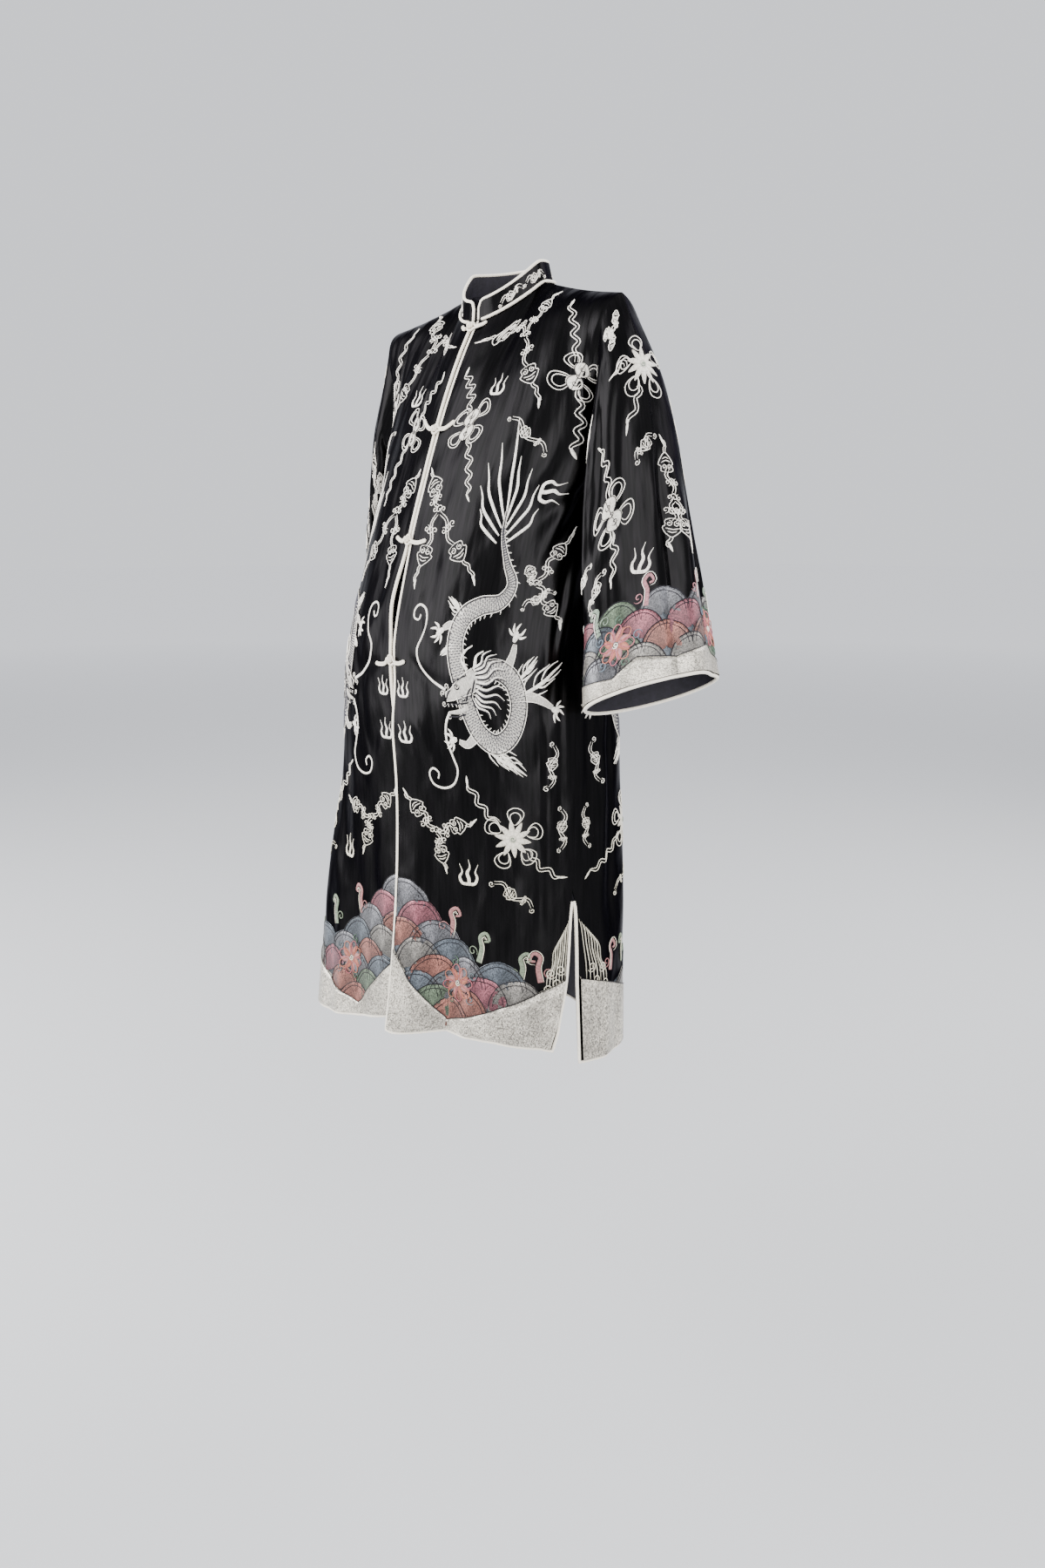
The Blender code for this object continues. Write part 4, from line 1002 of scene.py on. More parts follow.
# %% [markdown]
# ## Knot and loop fastenings
# A ball knot of cord on the right front slips through a loop on the left one, and both cords
# end in straps of doubled cord. The ball is drawn as one cord that winds three times round
# a core, over and under itself, as the real knot does.

# %% Fastenings
def on_fronts(distance, down, lift):
    """Points on the fronts by distance from the centre line in metres, left above zero."""
    distance, down, lift = np.broadcast_arrays(*np.atleast_1d(distance, down, lift))
    place = np.where(down < YOKE, down / YOKE * SHOULDER_TO_CHEST,
                     SHOULDER_TO_CHEST + (down - YOKE) / (1 - YOKE) * (PANEL_MM - SHOULDER_TO_CHEST))
    left = charts["front_left"].lay(distance * 1000, place, lift * 1000)[0]
    right = charts["front_right"].lay(-distance * 1000, place, lift * 1000)[0]
    return np.where(distance[:, None] > 0, left, right)


def strap_outline(start, length, half, head, loops):
    """A closed cord seen flat: two runs side by side and, on a loop, a round head."""
    points = []
    if loops:
        for turn in np.linspace(0.45, tau - 0.45, 9):
            points.append((head * cos(turn), head * sin(turn)))
    else:
        points += [(start, half), (start - half * 0.8, 0.0), (start, -half)]
    run = np.linspace(head * 1.35 if loops else start + 0.004, length, 4)
    points += [(x, -half) for x in run] + [(length + half * 0.8, 0.0)]
    points += [(x, half) for x in run[::-1]]
    return np.array(points)


def closed_spline(points, count):
    """A closed smooth curve through points, with this many stitches between two of them."""
    t = weights(np.arange(count) / count)
    ring = np.vstack([points[-1:], points, points[:2]])
    return np.vstack([t @ ring[k:k + 4] for k in range(len(points))])


fastenings = {}
for number, row in enumerate(FROGS, start=1):
    down, stand_off, left_length, left_rise, right_length, right_rise = row
    distance, _ = edge_values("front_left", np.array([down]))
    reach = KNOT + CORD_EDGE + stand_off
    seat = np.sqrt(reach**2 - (distance[0] - CORD_EDGE - 0.0003) ** 2) - WALL / 2
    foot = on_fronts(0.0, down, 0.0)[0]
    centre = on_fronts(0.0, down, seat)[0]
    per_share = np.linalg.norm(on_fronts(0.0, down + 0.01, 0.0) - on_fronts(0.0, down, 0.0)) / 0.01
    turn = np.arange(96) * tau * 3 / 96
    tilt = 1.12 * np.sin(turn * 4 / 3)
    ball = (KNOT - 0.00135 + 0.0003 * np.cos(turn * 8 / 3)[:, None]) * np.stack(
        [np.cos(tilt) * np.cos(turn), np.cos(tilt) * np.sin(turn), np.sin(tilt)], axis=1)
    core = tube(centre + np.array([[0, 0, z] for z in np.linspace(-0.0030, 0.0030, 9)]),
                np.tile((0.0, 1.0, 0.0), (9, 1)), 0.0031, 12,
                thickness=np.sqrt(1 - np.linspace(-0.97, 0.97, 9) ** 2))
    fastenings[f"knot_{number}"] = cord_object(
        f"knot_button_{number}", [core, tube(centre + ball, unit(ball), 0.00125, 6, closed=True)])
    half_strap = CORD_FROG
    head = KNOT + CORD_FROG
    for side, length, rise_mm, loops in ((1, left_length, left_rise, True),
                                         (-1, right_length, right_rise, False)):
        start = 0.0 if loops else head + 2 * CORD_FROG + half_strap
        flat = closed_spline(strap_outline(start, length, half_strap,
                                           head if loops else half_strap, loops), 5)
        away = side * flat[:, 0]
        sag = 0.003 * np.sin(pi * np.clip(flat[:, 0] / length, 0, 1))
        drop = flat[:, 1] + flat[:, 0] * rise_mm / length - sag
        near = 1 - smooth((np.abs(away) - 0.010) / 0.008)
        lift = CORD_FROG * 0.85 + near * (CORD_EDGE - WALL / 2 + 0.0006)
        path = on_fronts(away, down - drop / per_share, lift)
        ups = np.tile(unit(centre - foot), (len(path), 1))
        word = "left" if side > 0 else "right"
        fastenings[f"strap_{word}_{number}"] = cord_object(
            f"loop_{word}_{number}", [tube(path, ups, CORD_FROG, 7, closed=True)])
print("fastenings", len(fastenings))

# %% [markdown]
# ## Embroidery: the parts of a drawing
# Everything is drawn flat, in millimetres, as threads and as filled strips, and then laid on
# the cloth. The drawing follows the kinds of motif, places and colours in the photo; the
# shapes come from the functions below and aren't traced.

# %% Drawing tools
WHITE = linear("#fbf5ea")
SILVER = linear("#cbc6bd", 0.95)
PEARL = linear("#ebe4d8")
SAGE = linear("#a3b3a0", 0.7)
ROSE = linear("#cf9298", 0.75)
CORAL = linear("#d08472", 0.8)
STEEL = linear("#8797a6", 0.7)
INK = linear("#1c1a20")
MOSS = linear("#5f7a68")
WINE = linear("#b76a76")
ASH = linear("#4d4c54")
FINE = 0.62             # half width of a couched thread, in millimetres
STITCH = 3.0            # length of one piece of a thread, in millimetres


def curve(points, step=STITCH, closed=False):
    """A smooth path through a few points, cut into equal stitches."""
    p = np.asarray(points, float)
    p = np.vstack([p[-1:], p, p[:2]]) if closed else np.vstack([2 * p[0] - p[1], p, 2 * p[-1] - p[-2]])
    t = weights(np.arange(8) / 8)
    rough = np.vstack([t @ p[k:k + 4] for k in range(len(p) - 3)] + [p[-2:-1]])
    length = np.concatenate([[0], np.cumsum(np.hypot(*np.diff(rough, axis=0).T))])
    count = max(int(length[-1] / step), 2)
    at = np.linspace(0, length[-1], count + 1)
    return np.stack([np.interp(at, length, rough[:, k]) for k in (0, 1)], axis=1)


def sideways(path):
    """Directions square to a path, to its right when y points down."""
    run = unit(np.gradient(path, axis=0))
    return np.stack([-run[:, 1], run[:, 0]], axis=1)


def taper(count, head=0.15, tail=0.15, ends=(0.35, 0.35)):
    """Widths that narrow at both ends of a stroke."""
    t = np.linspace(0, 1, count)
    first = ends[0] + (1 - ends[0]) * smooth(t / head)
    last = ends[1] + (1 - ends[1]) * smooth((1 - t) / tail)
    return np.minimum(first, last)


def thread(path, colour=WHITE, width=FINE, **ends):
    """A couched thread."""
    return ("thread", path, width * taper(len(path), **ends), colour)


def over(mark, kind="over"):
    """The same mark, laid over what is sewn below it."""
    return (kind, *mark[1:])


def doubled(path, gap, colour=WHITE, width=FINE):
    """Two threads side by side; the gap is a number, or one for each point."""
    off = sideways(path) * (gap[:, None] if np.ndim(gap) else gap)
    return [thread(path + off, colour, width), thread(path - off, colour, width)]


def polar(at, angle, reach):
    """The point at an angle and a distance from another."""
    return at[0] + reach * cos(angle), at[1] + reach * sin(angle)


def placed(points, angle, size, at=(0.0, 0.0)):
    """Points of a small drawing, turned, enlarged and moved."""
    c, s = cos(angle), sin(angle)
    return [(at[0] + c * a * size - s * b * size, at[1] + s * a * size + c * b * size) for a, b in points]


def strip(path, widths, colour=WHITE):
    """A filled strip of satin stitches, as wide on each side as the widths say."""
    return ("strip", path, np.asarray(widths, float), colour)


def spiral(centre, radius, turns=1.4, start=0.0, hand=1, colour=WHITE, width=FINE):
    """A curl that winds in to its centre."""
    count = max(int(tau * turns * radius * 0.6 / 1.8), 7)
    t = np.linspace(0, 1, count)
    angle = start + hand * tau * turns * t
    reach = radius * (1 - 0.85 * t)
    path = np.asarray(centre) + np.stack([np.cos(angle), np.sin(angle)], axis=1) * reach[:, None]
    return thread(path, colour, width)


def loop(centre, angle, length, width, colour=WHITE, step=2.4):
    """A rounded petal outline that starts at a centre and points at an angle."""
    flat = [(0, 0), (0.35, 0.42), (0.75, 0.55), (1.0, 0.22), (1.0, -0.22), (0.75, -0.55), (0.35, -0.42)]
    points = placed([(length * a, width * b) for a, b in flat], angle, 1.0, centre)
    return thread(curve(points, step, closed=True), colour)


# %% [markdown]
# ## Leaves and ribbons
# Petals, flames and toes are all one form: a filled strip that swells and ends in a point. A
# ribbon is two threads that wave together and meet in such a tip.

# %% Leaves and ribbons
def leaf(base, tip, width, bend=0.0, colour=WHITE):
    """A filled leaf, flame tongue or petal from its base to its tip."""
    base, tip = np.asarray(base, float), np.asarray(tip, float)
    run = tip - base
    square = np.array([-run[1], run[0]])
    path = curve([base, base + run * 0.35 + square * bend, base + run * 0.7 + square * bend * 0.6, tip], 2.2)
    t = np.linspace(0, 1, len(path))
    return strip(path, width * np.sin(pi * np.clip(t * 0.86 + 0.12, 0, 1)) ** 0.8 + 0.12, colour)


def ribbon(points, amplitude=4.5, wave=19.0, gap=1.9, colour=WHITE):
    """A waving ribbon: two threads side by side that meet in a tip."""
    path = curve(points, 2.2)
    t = np.linspace(0, 1, len(path))
    length = 2.2 * len(path)
    swing = amplitude * np.sin(tau * t * length / wave) * np.minimum(1, 3 * t) * (1 - 0.6 * t)
    path = path + sideways(path) * swing[:, None]
    tip = leaf(path[-4], path[-1] + (path[-1] - path[-4]) * 0.8, 1.4, 0.0, colour)
    return doubled(path, gap * (1 - smooth((t - 0.8) / 0.2)), colour) + [tip]


# %% [markdown]
# ## Embroidery: clouds, flames, emblems and lotus
# Cloud chains are knots of small curls joined by doubled threads, each arm ending in a tip.

# %% Motifs
def puff(centre, angle, size):
    """A cone of stacked cloud curls that points along an angle."""
    outline = [(-0.9, 0.25), (-0.7, 0.8), (-0.2, 0.72), (0.0, 1.0), (0.45, 0.75), (0.75, 0.5),
               (1.1, 0.0), (0.75, -0.5), (0.45, -0.75), (0.0, -1.0), (-0.2, -0.72), (-0.7, -0.8),
               (-0.9, -0.25)]
    marks = [thread(curve(placed(outline, angle, size, centre), 2.2, closed=True))]
    for hand, eye in zip((1, -1), placed([(-0.35, 0.38), (-0.35, -0.38)], angle, size, centre)):
        marks.append(spiral(eye, 0.34 * size, 1.3, angle + pi, hand))
    for a, half in ((0.12, 0.66), (0.45, 0.45)):
        line = placed([(a, half), (a + 0.16, 0.0), (a, -half)], angle, size, centre)
        marks.append(thread(curve(line, 2.2)))
    return marks


def knotlet(centre, size, angle=0.0):
    """Three small curls side by side."""
    return [spiral(polar(centre, angle, k * size * 0.95), size * (0.62 if k else 0.78), 1.2,
                   angle + 1.6 * k, hand) for k, hand in ((-1, 1), (0, -1), (1, 1))]


def cloud(tips, size=12.0):
    """A cloud with arms: from its centre to each tip, curls, a cone and a waving end."""
    marks = knotlet((0.0, 0.0), size * 0.6)
    for k, tip in enumerate(tips):
        tip = np.asarray(tip, float)
        reach = np.linalg.norm(tip)
        square = np.array([-tip[1], tip[0]]) / reach
        sway = 4.0 if k % 2 else -4.0
        path = curve([tip * 0.06, tip * 0.2 + square * sway, tip * 0.38 - square * sway, tip * 0.5], 2.4)
        marks += doubled(path, 1.7)
        angle = np.arctan2(tip[1], tip[0])
        cone = min(size, reach * 0.24)
        marks += knotlet(tip * 0.27 + square * sway * 0.6, cone * 0.62, angle + pi / 2)
        marks += puff(tip * 0.6, angle, cone)
        start = tip * 0.6 + tip / reach * cone
        if np.linalg.norm(tip - start) > 6:
            marks += ribbon([start, start + (tip - start) * 0.5 + square * sway * 0.6, tip], 1.8, 14.0, 1.5)
    return marks


def small_cloud(tips, size=8.0):
    """A short cloud: hooked ends and crossed curls between them."""
    start, end = (np.asarray(tip, float) for tip in tips)
    run = end - start
    reach = np.linalg.norm(run)
    angle = np.arctan2(run[1], run[0])
    along, square = run / reach, np.array([-run[1], run[0]]) / reach
    high = size * 0.6
    path = curve([start, start + run * 0.2 - square * high, start + run * 0.5 + square * high * 0.6,
                  start + run * 0.8 - square * high, end], 2.4)
    return (doubled(path, 1.6, width=FINE * 0.85)
            + [spiral(start - along * 2 + square * high * 0.6, size * 0.42, 1.2, angle, 1),
               spiral(end + along * 2 + square * high * 0.6, size * 0.42, 1.2, angle + pi, -1)]
            + puff(start + run * 0.42, angle, size * 0.85)
            + knotlet(start + run * 0.74 - square * high * 0.4, size * 0.5, angle + pi / 2))


print("a cloud of one arm has", len(cloud([(40.0, 0.0)])), "marks")


# %% [markdown]
# ## Flames, tied emblems and lotus
# A flame is three tongues on one root. An emblem stands here for the many tied jewels of such
# gowns: petals of cord round a filled body, and two long ribbons.

# %% Flames, emblems and lotus
def flame(tips=(), angle=-pi / 2, size=26.0):
    """Three filled tongues that rise from one curved root."""
    marks = []
    for points, width in (([(-0.42, 0.0), (-0.38, -0.3), (-0.1, -0.42), (0.16, -0.3), (0.52, -0.44)], 0.075),
                          ([(-0.42, 0.02), (-0.2, 0.02), (0.1, -0.07), (0.36, 0.05), (0.72, -0.02)], 0.085),
                          ([(-0.42, 0.0), (-0.38, 0.3), (-0.1, 0.42), (0.16, 0.32), (0.52, 0.46)], 0.075)):
        path = curve(placed(points, angle, size), 2.2)
        t = np.linspace(0, 1, len(path))
        marks.append(strip(path, size * width * (1.0 - 0.9 * smooth((t - 0.35) / 0.65)) + 0.1))
    return marks


def star(centre, radius, points, colour=WHITE, turn=0.0):
    """Filled petals round a centre."""
    return [leaf(centre, polar(centre, turn + tau * k / points, radius), radius * 0.17, 0.0, colour)
            for k in range(points)]


def tied(tips, size):
    """The ribbons of an emblem; each tip has a third number, how far its ribbon bends."""
    marks = []
    for tip in tips:
        end = np.array(tip[:2])
        reach = np.linalg.norm(end)
        square = np.array([-end[1], end[0]]) / reach
        marks += ribbon([end / reach * size, end * 0.55 + square * tip[2], end], 5.0, 20.0)
    return marks


def emblem(tips, size=17.0, turn=0.0):
    """A filled jewel between looped petals, tied with long ribbons."""
    marks = tied(tips, size * 0.95)
    for k in range(4):
        angle = turn + pi / 4 + k * pi / 2
        spot = size * 0.5 * np.array([cos(angle), sin(angle)])
        marks += [loop(spot, angle, size * 1.1, size * 1.1), loop(spot * 1.25, angle, size * 0.8, size * 0.7)]
    axis = np.array([cos(turn + pi / 2), sin(turn + pi / 2)])
    body = curve([-axis * size * 1.0, -axis * size * 0.4, axis * size * 0.4, axis * size * 1.0], 2.4)
    t = np.linspace(0, 1, len(body))
    wide = size * (0.2 + 0.5 * np.abs(np.sin(tau * t)) ** 0.7)
    marks.append(strip(body, wide, PEARL))
    for side in (-0.78, 0.78, 0.0):
        marks.append(("over", body + sideways(body) * (wide * side)[:, None], np.full(len(body), 0.45), INK))
    for k in (-0.55, 0.0, 0.55):
        marks.append(over(spiral(axis * size * k, size * 0.22, 1.1, k, 1, INK, 0.5)))
    return marks


def lotus(tips, size=22.0):
    """A flower of narrow petals with rounded outer loops."""
    marks = tied(tips, size * 1.1) + star((0.0, 0.0), size, 10, PEARL, 0.2)
    for k in range(5):
        angle = -2.6 + k * 1.15
        spot = size * 0.75 * np.array([cos(angle), sin(angle)])
        marks += [loop(spot, angle, size * 0.9, size * 0.8), loop(spot, angle, size * 0.66, size * 0.52)]
    marks.append(over(spiral((0, 0), size * 0.16, 1.2, 0, 1, SAGE, 0.8)))
    return marks


# %% [markdown]
# ## Embroidery: the dragon
# A plain traditional dragon: a long filled body with outlines, dark scale marks, spines, four
# clawed feet, leafy fins, a tufted tail, and long curled whiskers.

# %% The dragon
def foot(at, angle, size=15.0):
    """A clawed foot: a filled palm and five spread toes."""
    marks = [leaf(polar(at, angle, -size * 0.55), polar(at, angle, size * 0.3), size * 0.26)]
    for k in range(5):
        way = angle + (k - 2) * 0.66
        marks.append(leaf(polar(at, way, size * 0.1), polar(at, way, size * 0.95), size * 0.11,
                          0.22 if k > 2 else -0.22))
    return marks


def fin(base, tip, width=6.0):
    """A fin like a spray of pointed leaves."""
    base, tip = np.asarray(base, float), np.asarray(tip, float)
    run = tip - base
    square = np.array([-run[1], run[0]])
    marks = [leaf(base, tip, width * 0.4, 0.05)]
    for k in (-1, 1):
        for share in (0.5, 0.74, 0.92):
            tip = base + run * share + square * k * 0.3 * (1.2 - share)
            marks.append(leaf(base + run * (share - 0.45), tip, width * 0.17, 0.14 * k))
    return marks


# Tips of the tail's tuft, in the places of a left front
TAIL_TIPS = ((124, 240), (116, 214), (119, 190), (134, 172), (152, 150), (165, 184), (184, 196), (199, 214),
             (206, 240))
BODY_LINE = ((164, 243), (166, 270), (178, 300), (190, 324), (178, 343), (152, 348), (130, 360), (120, 384),
             (122, 412), (130, 440), (138, 466), (152, 492), (176, 505), (200, 492), (212, 462), (204, 433),
             (182, 419), (160, 424), (146, 434))


def dragon():
    """All marks of the dragon, in the places of a left front."""
    body = curve(BODY_LINE, 3.0)
    t = np.linspace(0, 1, len(body))
    half = 2.0 + 10.6 * smooth(t / 0.36)
    side = sideways(body)
    marks = [strip(body, half, SILVER)]
    marks += [over(mark) for mark in doubled(body, half - 0.3)]
    marks += [("over", body + side * (s * (half - 1.9))[:, None], np.full(len(body), 0.5), INK)
              for s in (1, -1)]
    # Dark stitches like small scales, in offset rows
    for k in range(6, len(body) - 8):
        for j in (-0.66, -0.22, 0.22, 0.66) if k % 2 else (-0.44, 0.0, 0.44):
            if half[k] < 6 and abs(j) > 0.5:
                continue
            spot = body[k] + side[k] * half[k] * j
            way = np.arctan2(*(body[k + 1] - body[k])[::-1])
            arc = spot + 1.9 * np.array([(cos(way + a), sin(way + a)) for a in (-1.2, -0.4, 0.4, 1.2)])
            marks.append(("over", arc, np.full(4, 0.5), ASH))
    for k in range(4, len(body) - 12, 3):
        root = body[k] - side[k] * (half[k] - 0.5)
        marks.append(leaf(root, root - side[k] * 4.6 + (body[k + 1] - body[k]) * 0.8, 0.8))
    for k, tip in enumerate(TAIL_TIPS):
        share = (k - 4) / 4
        base = np.array((164 + 6.0 * share, 244 + 34 * abs(share)))
        tip = np.array(tip, float)
        out = np.array((np.sign(share) * 6.0 * abs(share) ** 0.5, 0.0))
        lock = curve([base, base + (tip - base) * 0.3 + out, base + (tip - base) * 0.55 + out * 1.5,
                      base + (tip - base) * 0.8 + out * 0.4, tip], 2.2)
        t_lock = np.linspace(0, 1, len(lock))
        marks.append(strip(lock, 0.2 + 1.9 * np.sin(pi * (0.1 + 0.88 * t_lock)) ** 0.8))
    for leg, spot, angle in (([(124, 378), (110, 370), (98, 374)], (92, 378), 2.7),
                             ([(192, 424), (202, 404), (205, 390)], (206, 380), -1.2),
                             ([(210, 448), (238, 452), (262, 463)], (268, 467), 0.4),
                             ([(150, 492), (132, 506), (118, 503)], (106, 502), 3.0)):
        path = curve(leg, 2.6)
        marks.append(strip(path, np.linspace(7.5, 3.0, len(path)), SILVER))
        marks += [over(mark) for mark in doubled(path, np.linspace(7.0, 2.6, len(path)))]
        marks += foot(spot, angle)
    for base, tip in (((210, 432), (238, 404)), ((216, 448), (276, 412)), ((178, 512), (220, 542)),
                      ((160, 508), (204, 534)), ((128, 362), (100, 338)), ((118, 392), (96, 404))):
        marks += fin(base, tip)
    return marks + dragon_head()


# %% [markdown]
# ## The dragon's head
# The head lies over the body in two more layers: first the filled skull, jaw, mane and horns,
# then the dark lines of eyes, brow and mouth. Layers keep the stitches from crossing.

# %% The dragon's head and whiskers
def dragon_head():
    """The head in profile, facing the centre line, with mane, horns and whiskers."""
    head = curve([(152, 428), (142, 434), (130, 440), (116, 448), (103, 452)], 2.4)
    half = 12.5 - 7.0 * smooth((np.linspace(0, 1, len(head)) - 0.2) / 0.8)
    marks = [("high", head, half, SILVER)] + [over(mark, "top") for mark in doubled(head, half)]
    jaw = curve([(138, 462), (124, 468), (106, 470)], 2.2)
    marks.append(("high", jaw, np.linspace(4.2, 1.6, len(jaw)), SILVER))
    # The mane streams back over the body, dark silk between its locks
    for k in range(10):
        way = -1.25 + 0.27 * k
        root = np.array((146 + 5 * cos(way), 436 + 19 * sin(way)))
        run = np.array((cos(way * 0.6), sin(way * 0.6))) * (27 + 17 * sin(pi * (k + 1) / 11))
        square = np.array((-sin(way), cos(way)))
        path = curve([root, root + run * 0.35 + square * 3.5, root + run * 0.7 - square * 2.5,
                      root + run + square * 2.0], 2.4)
        wide = 1.75 * (1 - 0.85 * np.linspace(0, 1, len(path)) ** 1.5)
        marks.append(("high", path + square * 2.3, wide * 0.7, INK))
        marks.append(("high", path, wide, WHITE))
    for spot, radius in (((122, 439), 4.4), ((131, 452), 3.6)):
        marks += [over(spiral(spot, radius * share, 1.0, 0, 1, colour, width), "top")
                  for share, colour, width in ((1.0, INK, 1.0), (0.62, WHITE, 0.8), (0.25, INK, 0.8))]
    for line in ([(140, 457), (124, 459), (104, 461)], [(112, 443), (107, 448), (104, 455)],
                 [(138, 426), (128, 429), (114, 437)], [(144, 440), (139, 446), (136, 456)],
                 [(134, 470), (120, 474), (106, 474)], [(150, 430), (147, 440), (143, 452)]):
        marks.append(over(thread(curve(line, 2.0), INK, 0.95), "top"))
    for k in range(5):
        tooth = np.array((106 + 6.5 * k, 459.5))
        marks.append(("top", np.array([tooth, tooth + (1.5, 3.5)]), np.array([0.9, 0.3]), WHITE))
    marks += [spiral(spot, radius, 1.2, start, hand) for spot, radius, start, hand in (
        ((104, 440), 4.2, 1.0, -1), ((97, 448), 4.0, 2.0, 1), ((99, 460), 3.8, 0.5, 1),
        ((106, 474), 3.6, 0.5, 1), ((124, 474), 3.6, 2.5, -1))]
    for horn in ([(138, 420), (130, 408), (136, 398), (146, 392)], [(150, 416), (152, 404), (162, 398)]):
        path = curve(horn, 2.2)
        marks.append(("high", path, np.linspace(2.4, 0.7, len(path)), WHITE))
    for line in ([(102, 444), (78, 434), (58, 418), (52, 400), (60, 384), (68, 368), (64, 354), (52, 348),
                  (42, 354), (42, 363), (50, 365), (54, 359)],
                 [(106, 470), (98, 484), (96, 502), (104, 522), (110, 538), (102, 554), (84, 560), (66, 556),
                  (60, 544), (68, 537), (77, 542), (75, 549)]):
        whisker = curve(line, 2.6)
        marks.append(strip(whisker, np.linspace(2.0, 1.3, len(whisker))))
    return marks


# %% [markdown]
# ## Laying the drawing on the cloth
# Threads become a wire mesh with a thickness and a colour at each point, and a small
# geometry-nodes tree turns the wires into round cords. Filled strips are low pillows of
# stitches, sunk into the cloth at their edges.

# %% Sewing
INNER_MM, SLEEVE_EDGE = 294.0, 999.0     # as far as a stitch may lie, short of a seam or cuff
THREAD_SIDES = 4
# Millimetres that threads and fills stand off the cloth: plain ones, and those over others
THREAD_LIFT = {"thread": 0.25, "over": 0.75, "top": 1.6}
FILL_LIFT = {"strip": 0.0, "high": 0.85}


class Sewing:
    """The threads and fills of one piece of cloth."""

    def __init__(self, piece):
        self.piece = piece
        self.chart = charts[piece]
        self.wires, self.fills, self.metal = [], [], []

    def inside(self, x, y, room=0.6):
        """Places kept on the cloth: off the free edges, the slit and the hem."""
        if self.piece == "collar":
            return np.clip(x, 6, collar_mm - 6), np.clip(y, 3.4, 20)
        if self.piece.startswith("sleeve"):
            return x, np.clip(y, 6, SLEEVE_EDGE)
        y = np.clip(y, 3, PANEL_MM - room)
        down = share_down(y)
        slit = slit_pull(down)
        if self.piece == "back":
            far = INNER_MM - slit[:, 1] - room * (slit[:, 1] > 0)
            return np.clip(x, -far, far), y
        near = edge_values(self.piece, down)[0] * 1000 + room
        return np.clip(x, near, INNER_MM - slit[:, 0] - room * (slit[:, 0] > 0)), y

    def sew(self, marks, at=None, flip=1.0, lift=0.0):
        """Lay marks on the cloth; with a place, millimetres are measured there on the cloth."""
        grow = self.chart.scale(flip * at[0], at[1]) if at is not None else (1.0, 1.0)
        origin = at if at is not None else (0.0, 0.0)
        for kind, path, widths, colour in marks:
            path = np.asarray(path, float)
            if kind in FILL_LIFT:
                self.fill(path, widths, colour, grow, origin, flip, lift + FILL_LIFT[kind])
            else:
                place = self.inside(flip * (origin[0] + path[:, 0] * grow[0]),
                                    origin[1] + path[:, 1] * grow[1])
                points, _ = self.chart.lay(*place, lift + THREAD_LIFT[kind])
                self.wires.append((points, widths, colour))

    def motif(self, kind, place, tips, sizes, flip=1.0):
        """Sew a motif whose tips are given as places on the cloth."""
        grow = self.chart.scale(flip * place[0], place[1])
        local = [((tip[0] - place[0]) / grow[0], (tip[1] - place[1]) / grow[1], *tip[2:]) for tip in tips]
        self.sew(kind(local, **sizes), place, flip)

    def fill(self, path, widths, colour, grow, origin, flip, lift):
        """A pillow of stitches along a path."""
        side = sideways(path)
        reach = (-1.0, -0.72, 0.0, 0.72, 1.0)
        high = (-0.35, 0.42, 0.62, 0.42, -0.35)
        x = path[:, None, 0] + side[:, None, 0] * widths[:, None] * reach
        y = path[:, None, 1] + side[:, None, 1] * widths[:, None] * reach
        lifts = np.broadcast_to(np.array(high) + lift, x.shape)
        length = np.concatenate([[0], np.cumsum(np.hypot(*np.diff(path, axis=0).T))])
        flat = np.stack([np.broadcast_to(length[:, None], x.shape),
                         widths[:, None] * np.array(reach)], axis=-1) / 1000
        self.patch(flip * (origin[0] + x * grow[0]), origin[1] + y * grow[1], lifts, flat, colour)

    def patch(self, x, y, lifts, flat, colour, metal=False):
        """A grid of places with a lift each, filled with stitches."""
        shape = x.shape
        inner_x, inner_y = self.inside(x.ravel(), y.ravel())
        points, normals = self.chart.lay(inner_x, inner_y, lifts.ravel())
        quads = facing(points, grid_quads(*shape), normals)
        rows = self.metal if metal else self.fills
        rows.append((points, quads, flat.reshape(-1, 2), colour))


print("the dragon has", len(dragon()), "marks")


# %% [markdown]
# ## From stitches to meshes
# Thousands of stitches as single objects would be slow, so all stitches of one kind on a
# piece become one mesh. Threads are wires first: a geometry-nodes tree gives them their
# round section, and its result is kept as a plain mesh.

# %% Join fills and threads
def dulled(points, colours):
    """Silver thread is duller and yellower towards the hem."""
    low = smooth((-0.52 - points[:, 2:]) / 0.25)
    return colours * (1 - low * np.array((0.24, 0.25, 0.34, 0.0)))


def finish_fills(name, fills, look):
    """One object of all fills of one kind on a piece."""
    points = np.vstack([f[0] for f in fills])
    flat = np.vstack([f[2] for f in fills])
    colours = np.vstack([np.tile(f[3], (len(f[0]), 1)) if np.ndim(f[3]) == 1 else f[3] for f in fills])
    colours = dulled(points, colours) if look is floss_silk else colours
    offsets = np.cumsum([0] + [len(f[0]) for f in fills])[:-1]
    quads = np.vstack([f[1] + offset for f, offset in zip(fills, offsets)])
    # A stitch pressed flat at an edge has no area and is left out
    spread = np.linalg.norm(np.cross(points[quads[:, 2]] - points[quads[:, 0]],
                                     points[quads[:, 3]] - points[quads[:, 1]]), axis=1)
    return make_object(name, points, quads[spread > 1e-9], (look,), flat, colours=colours)


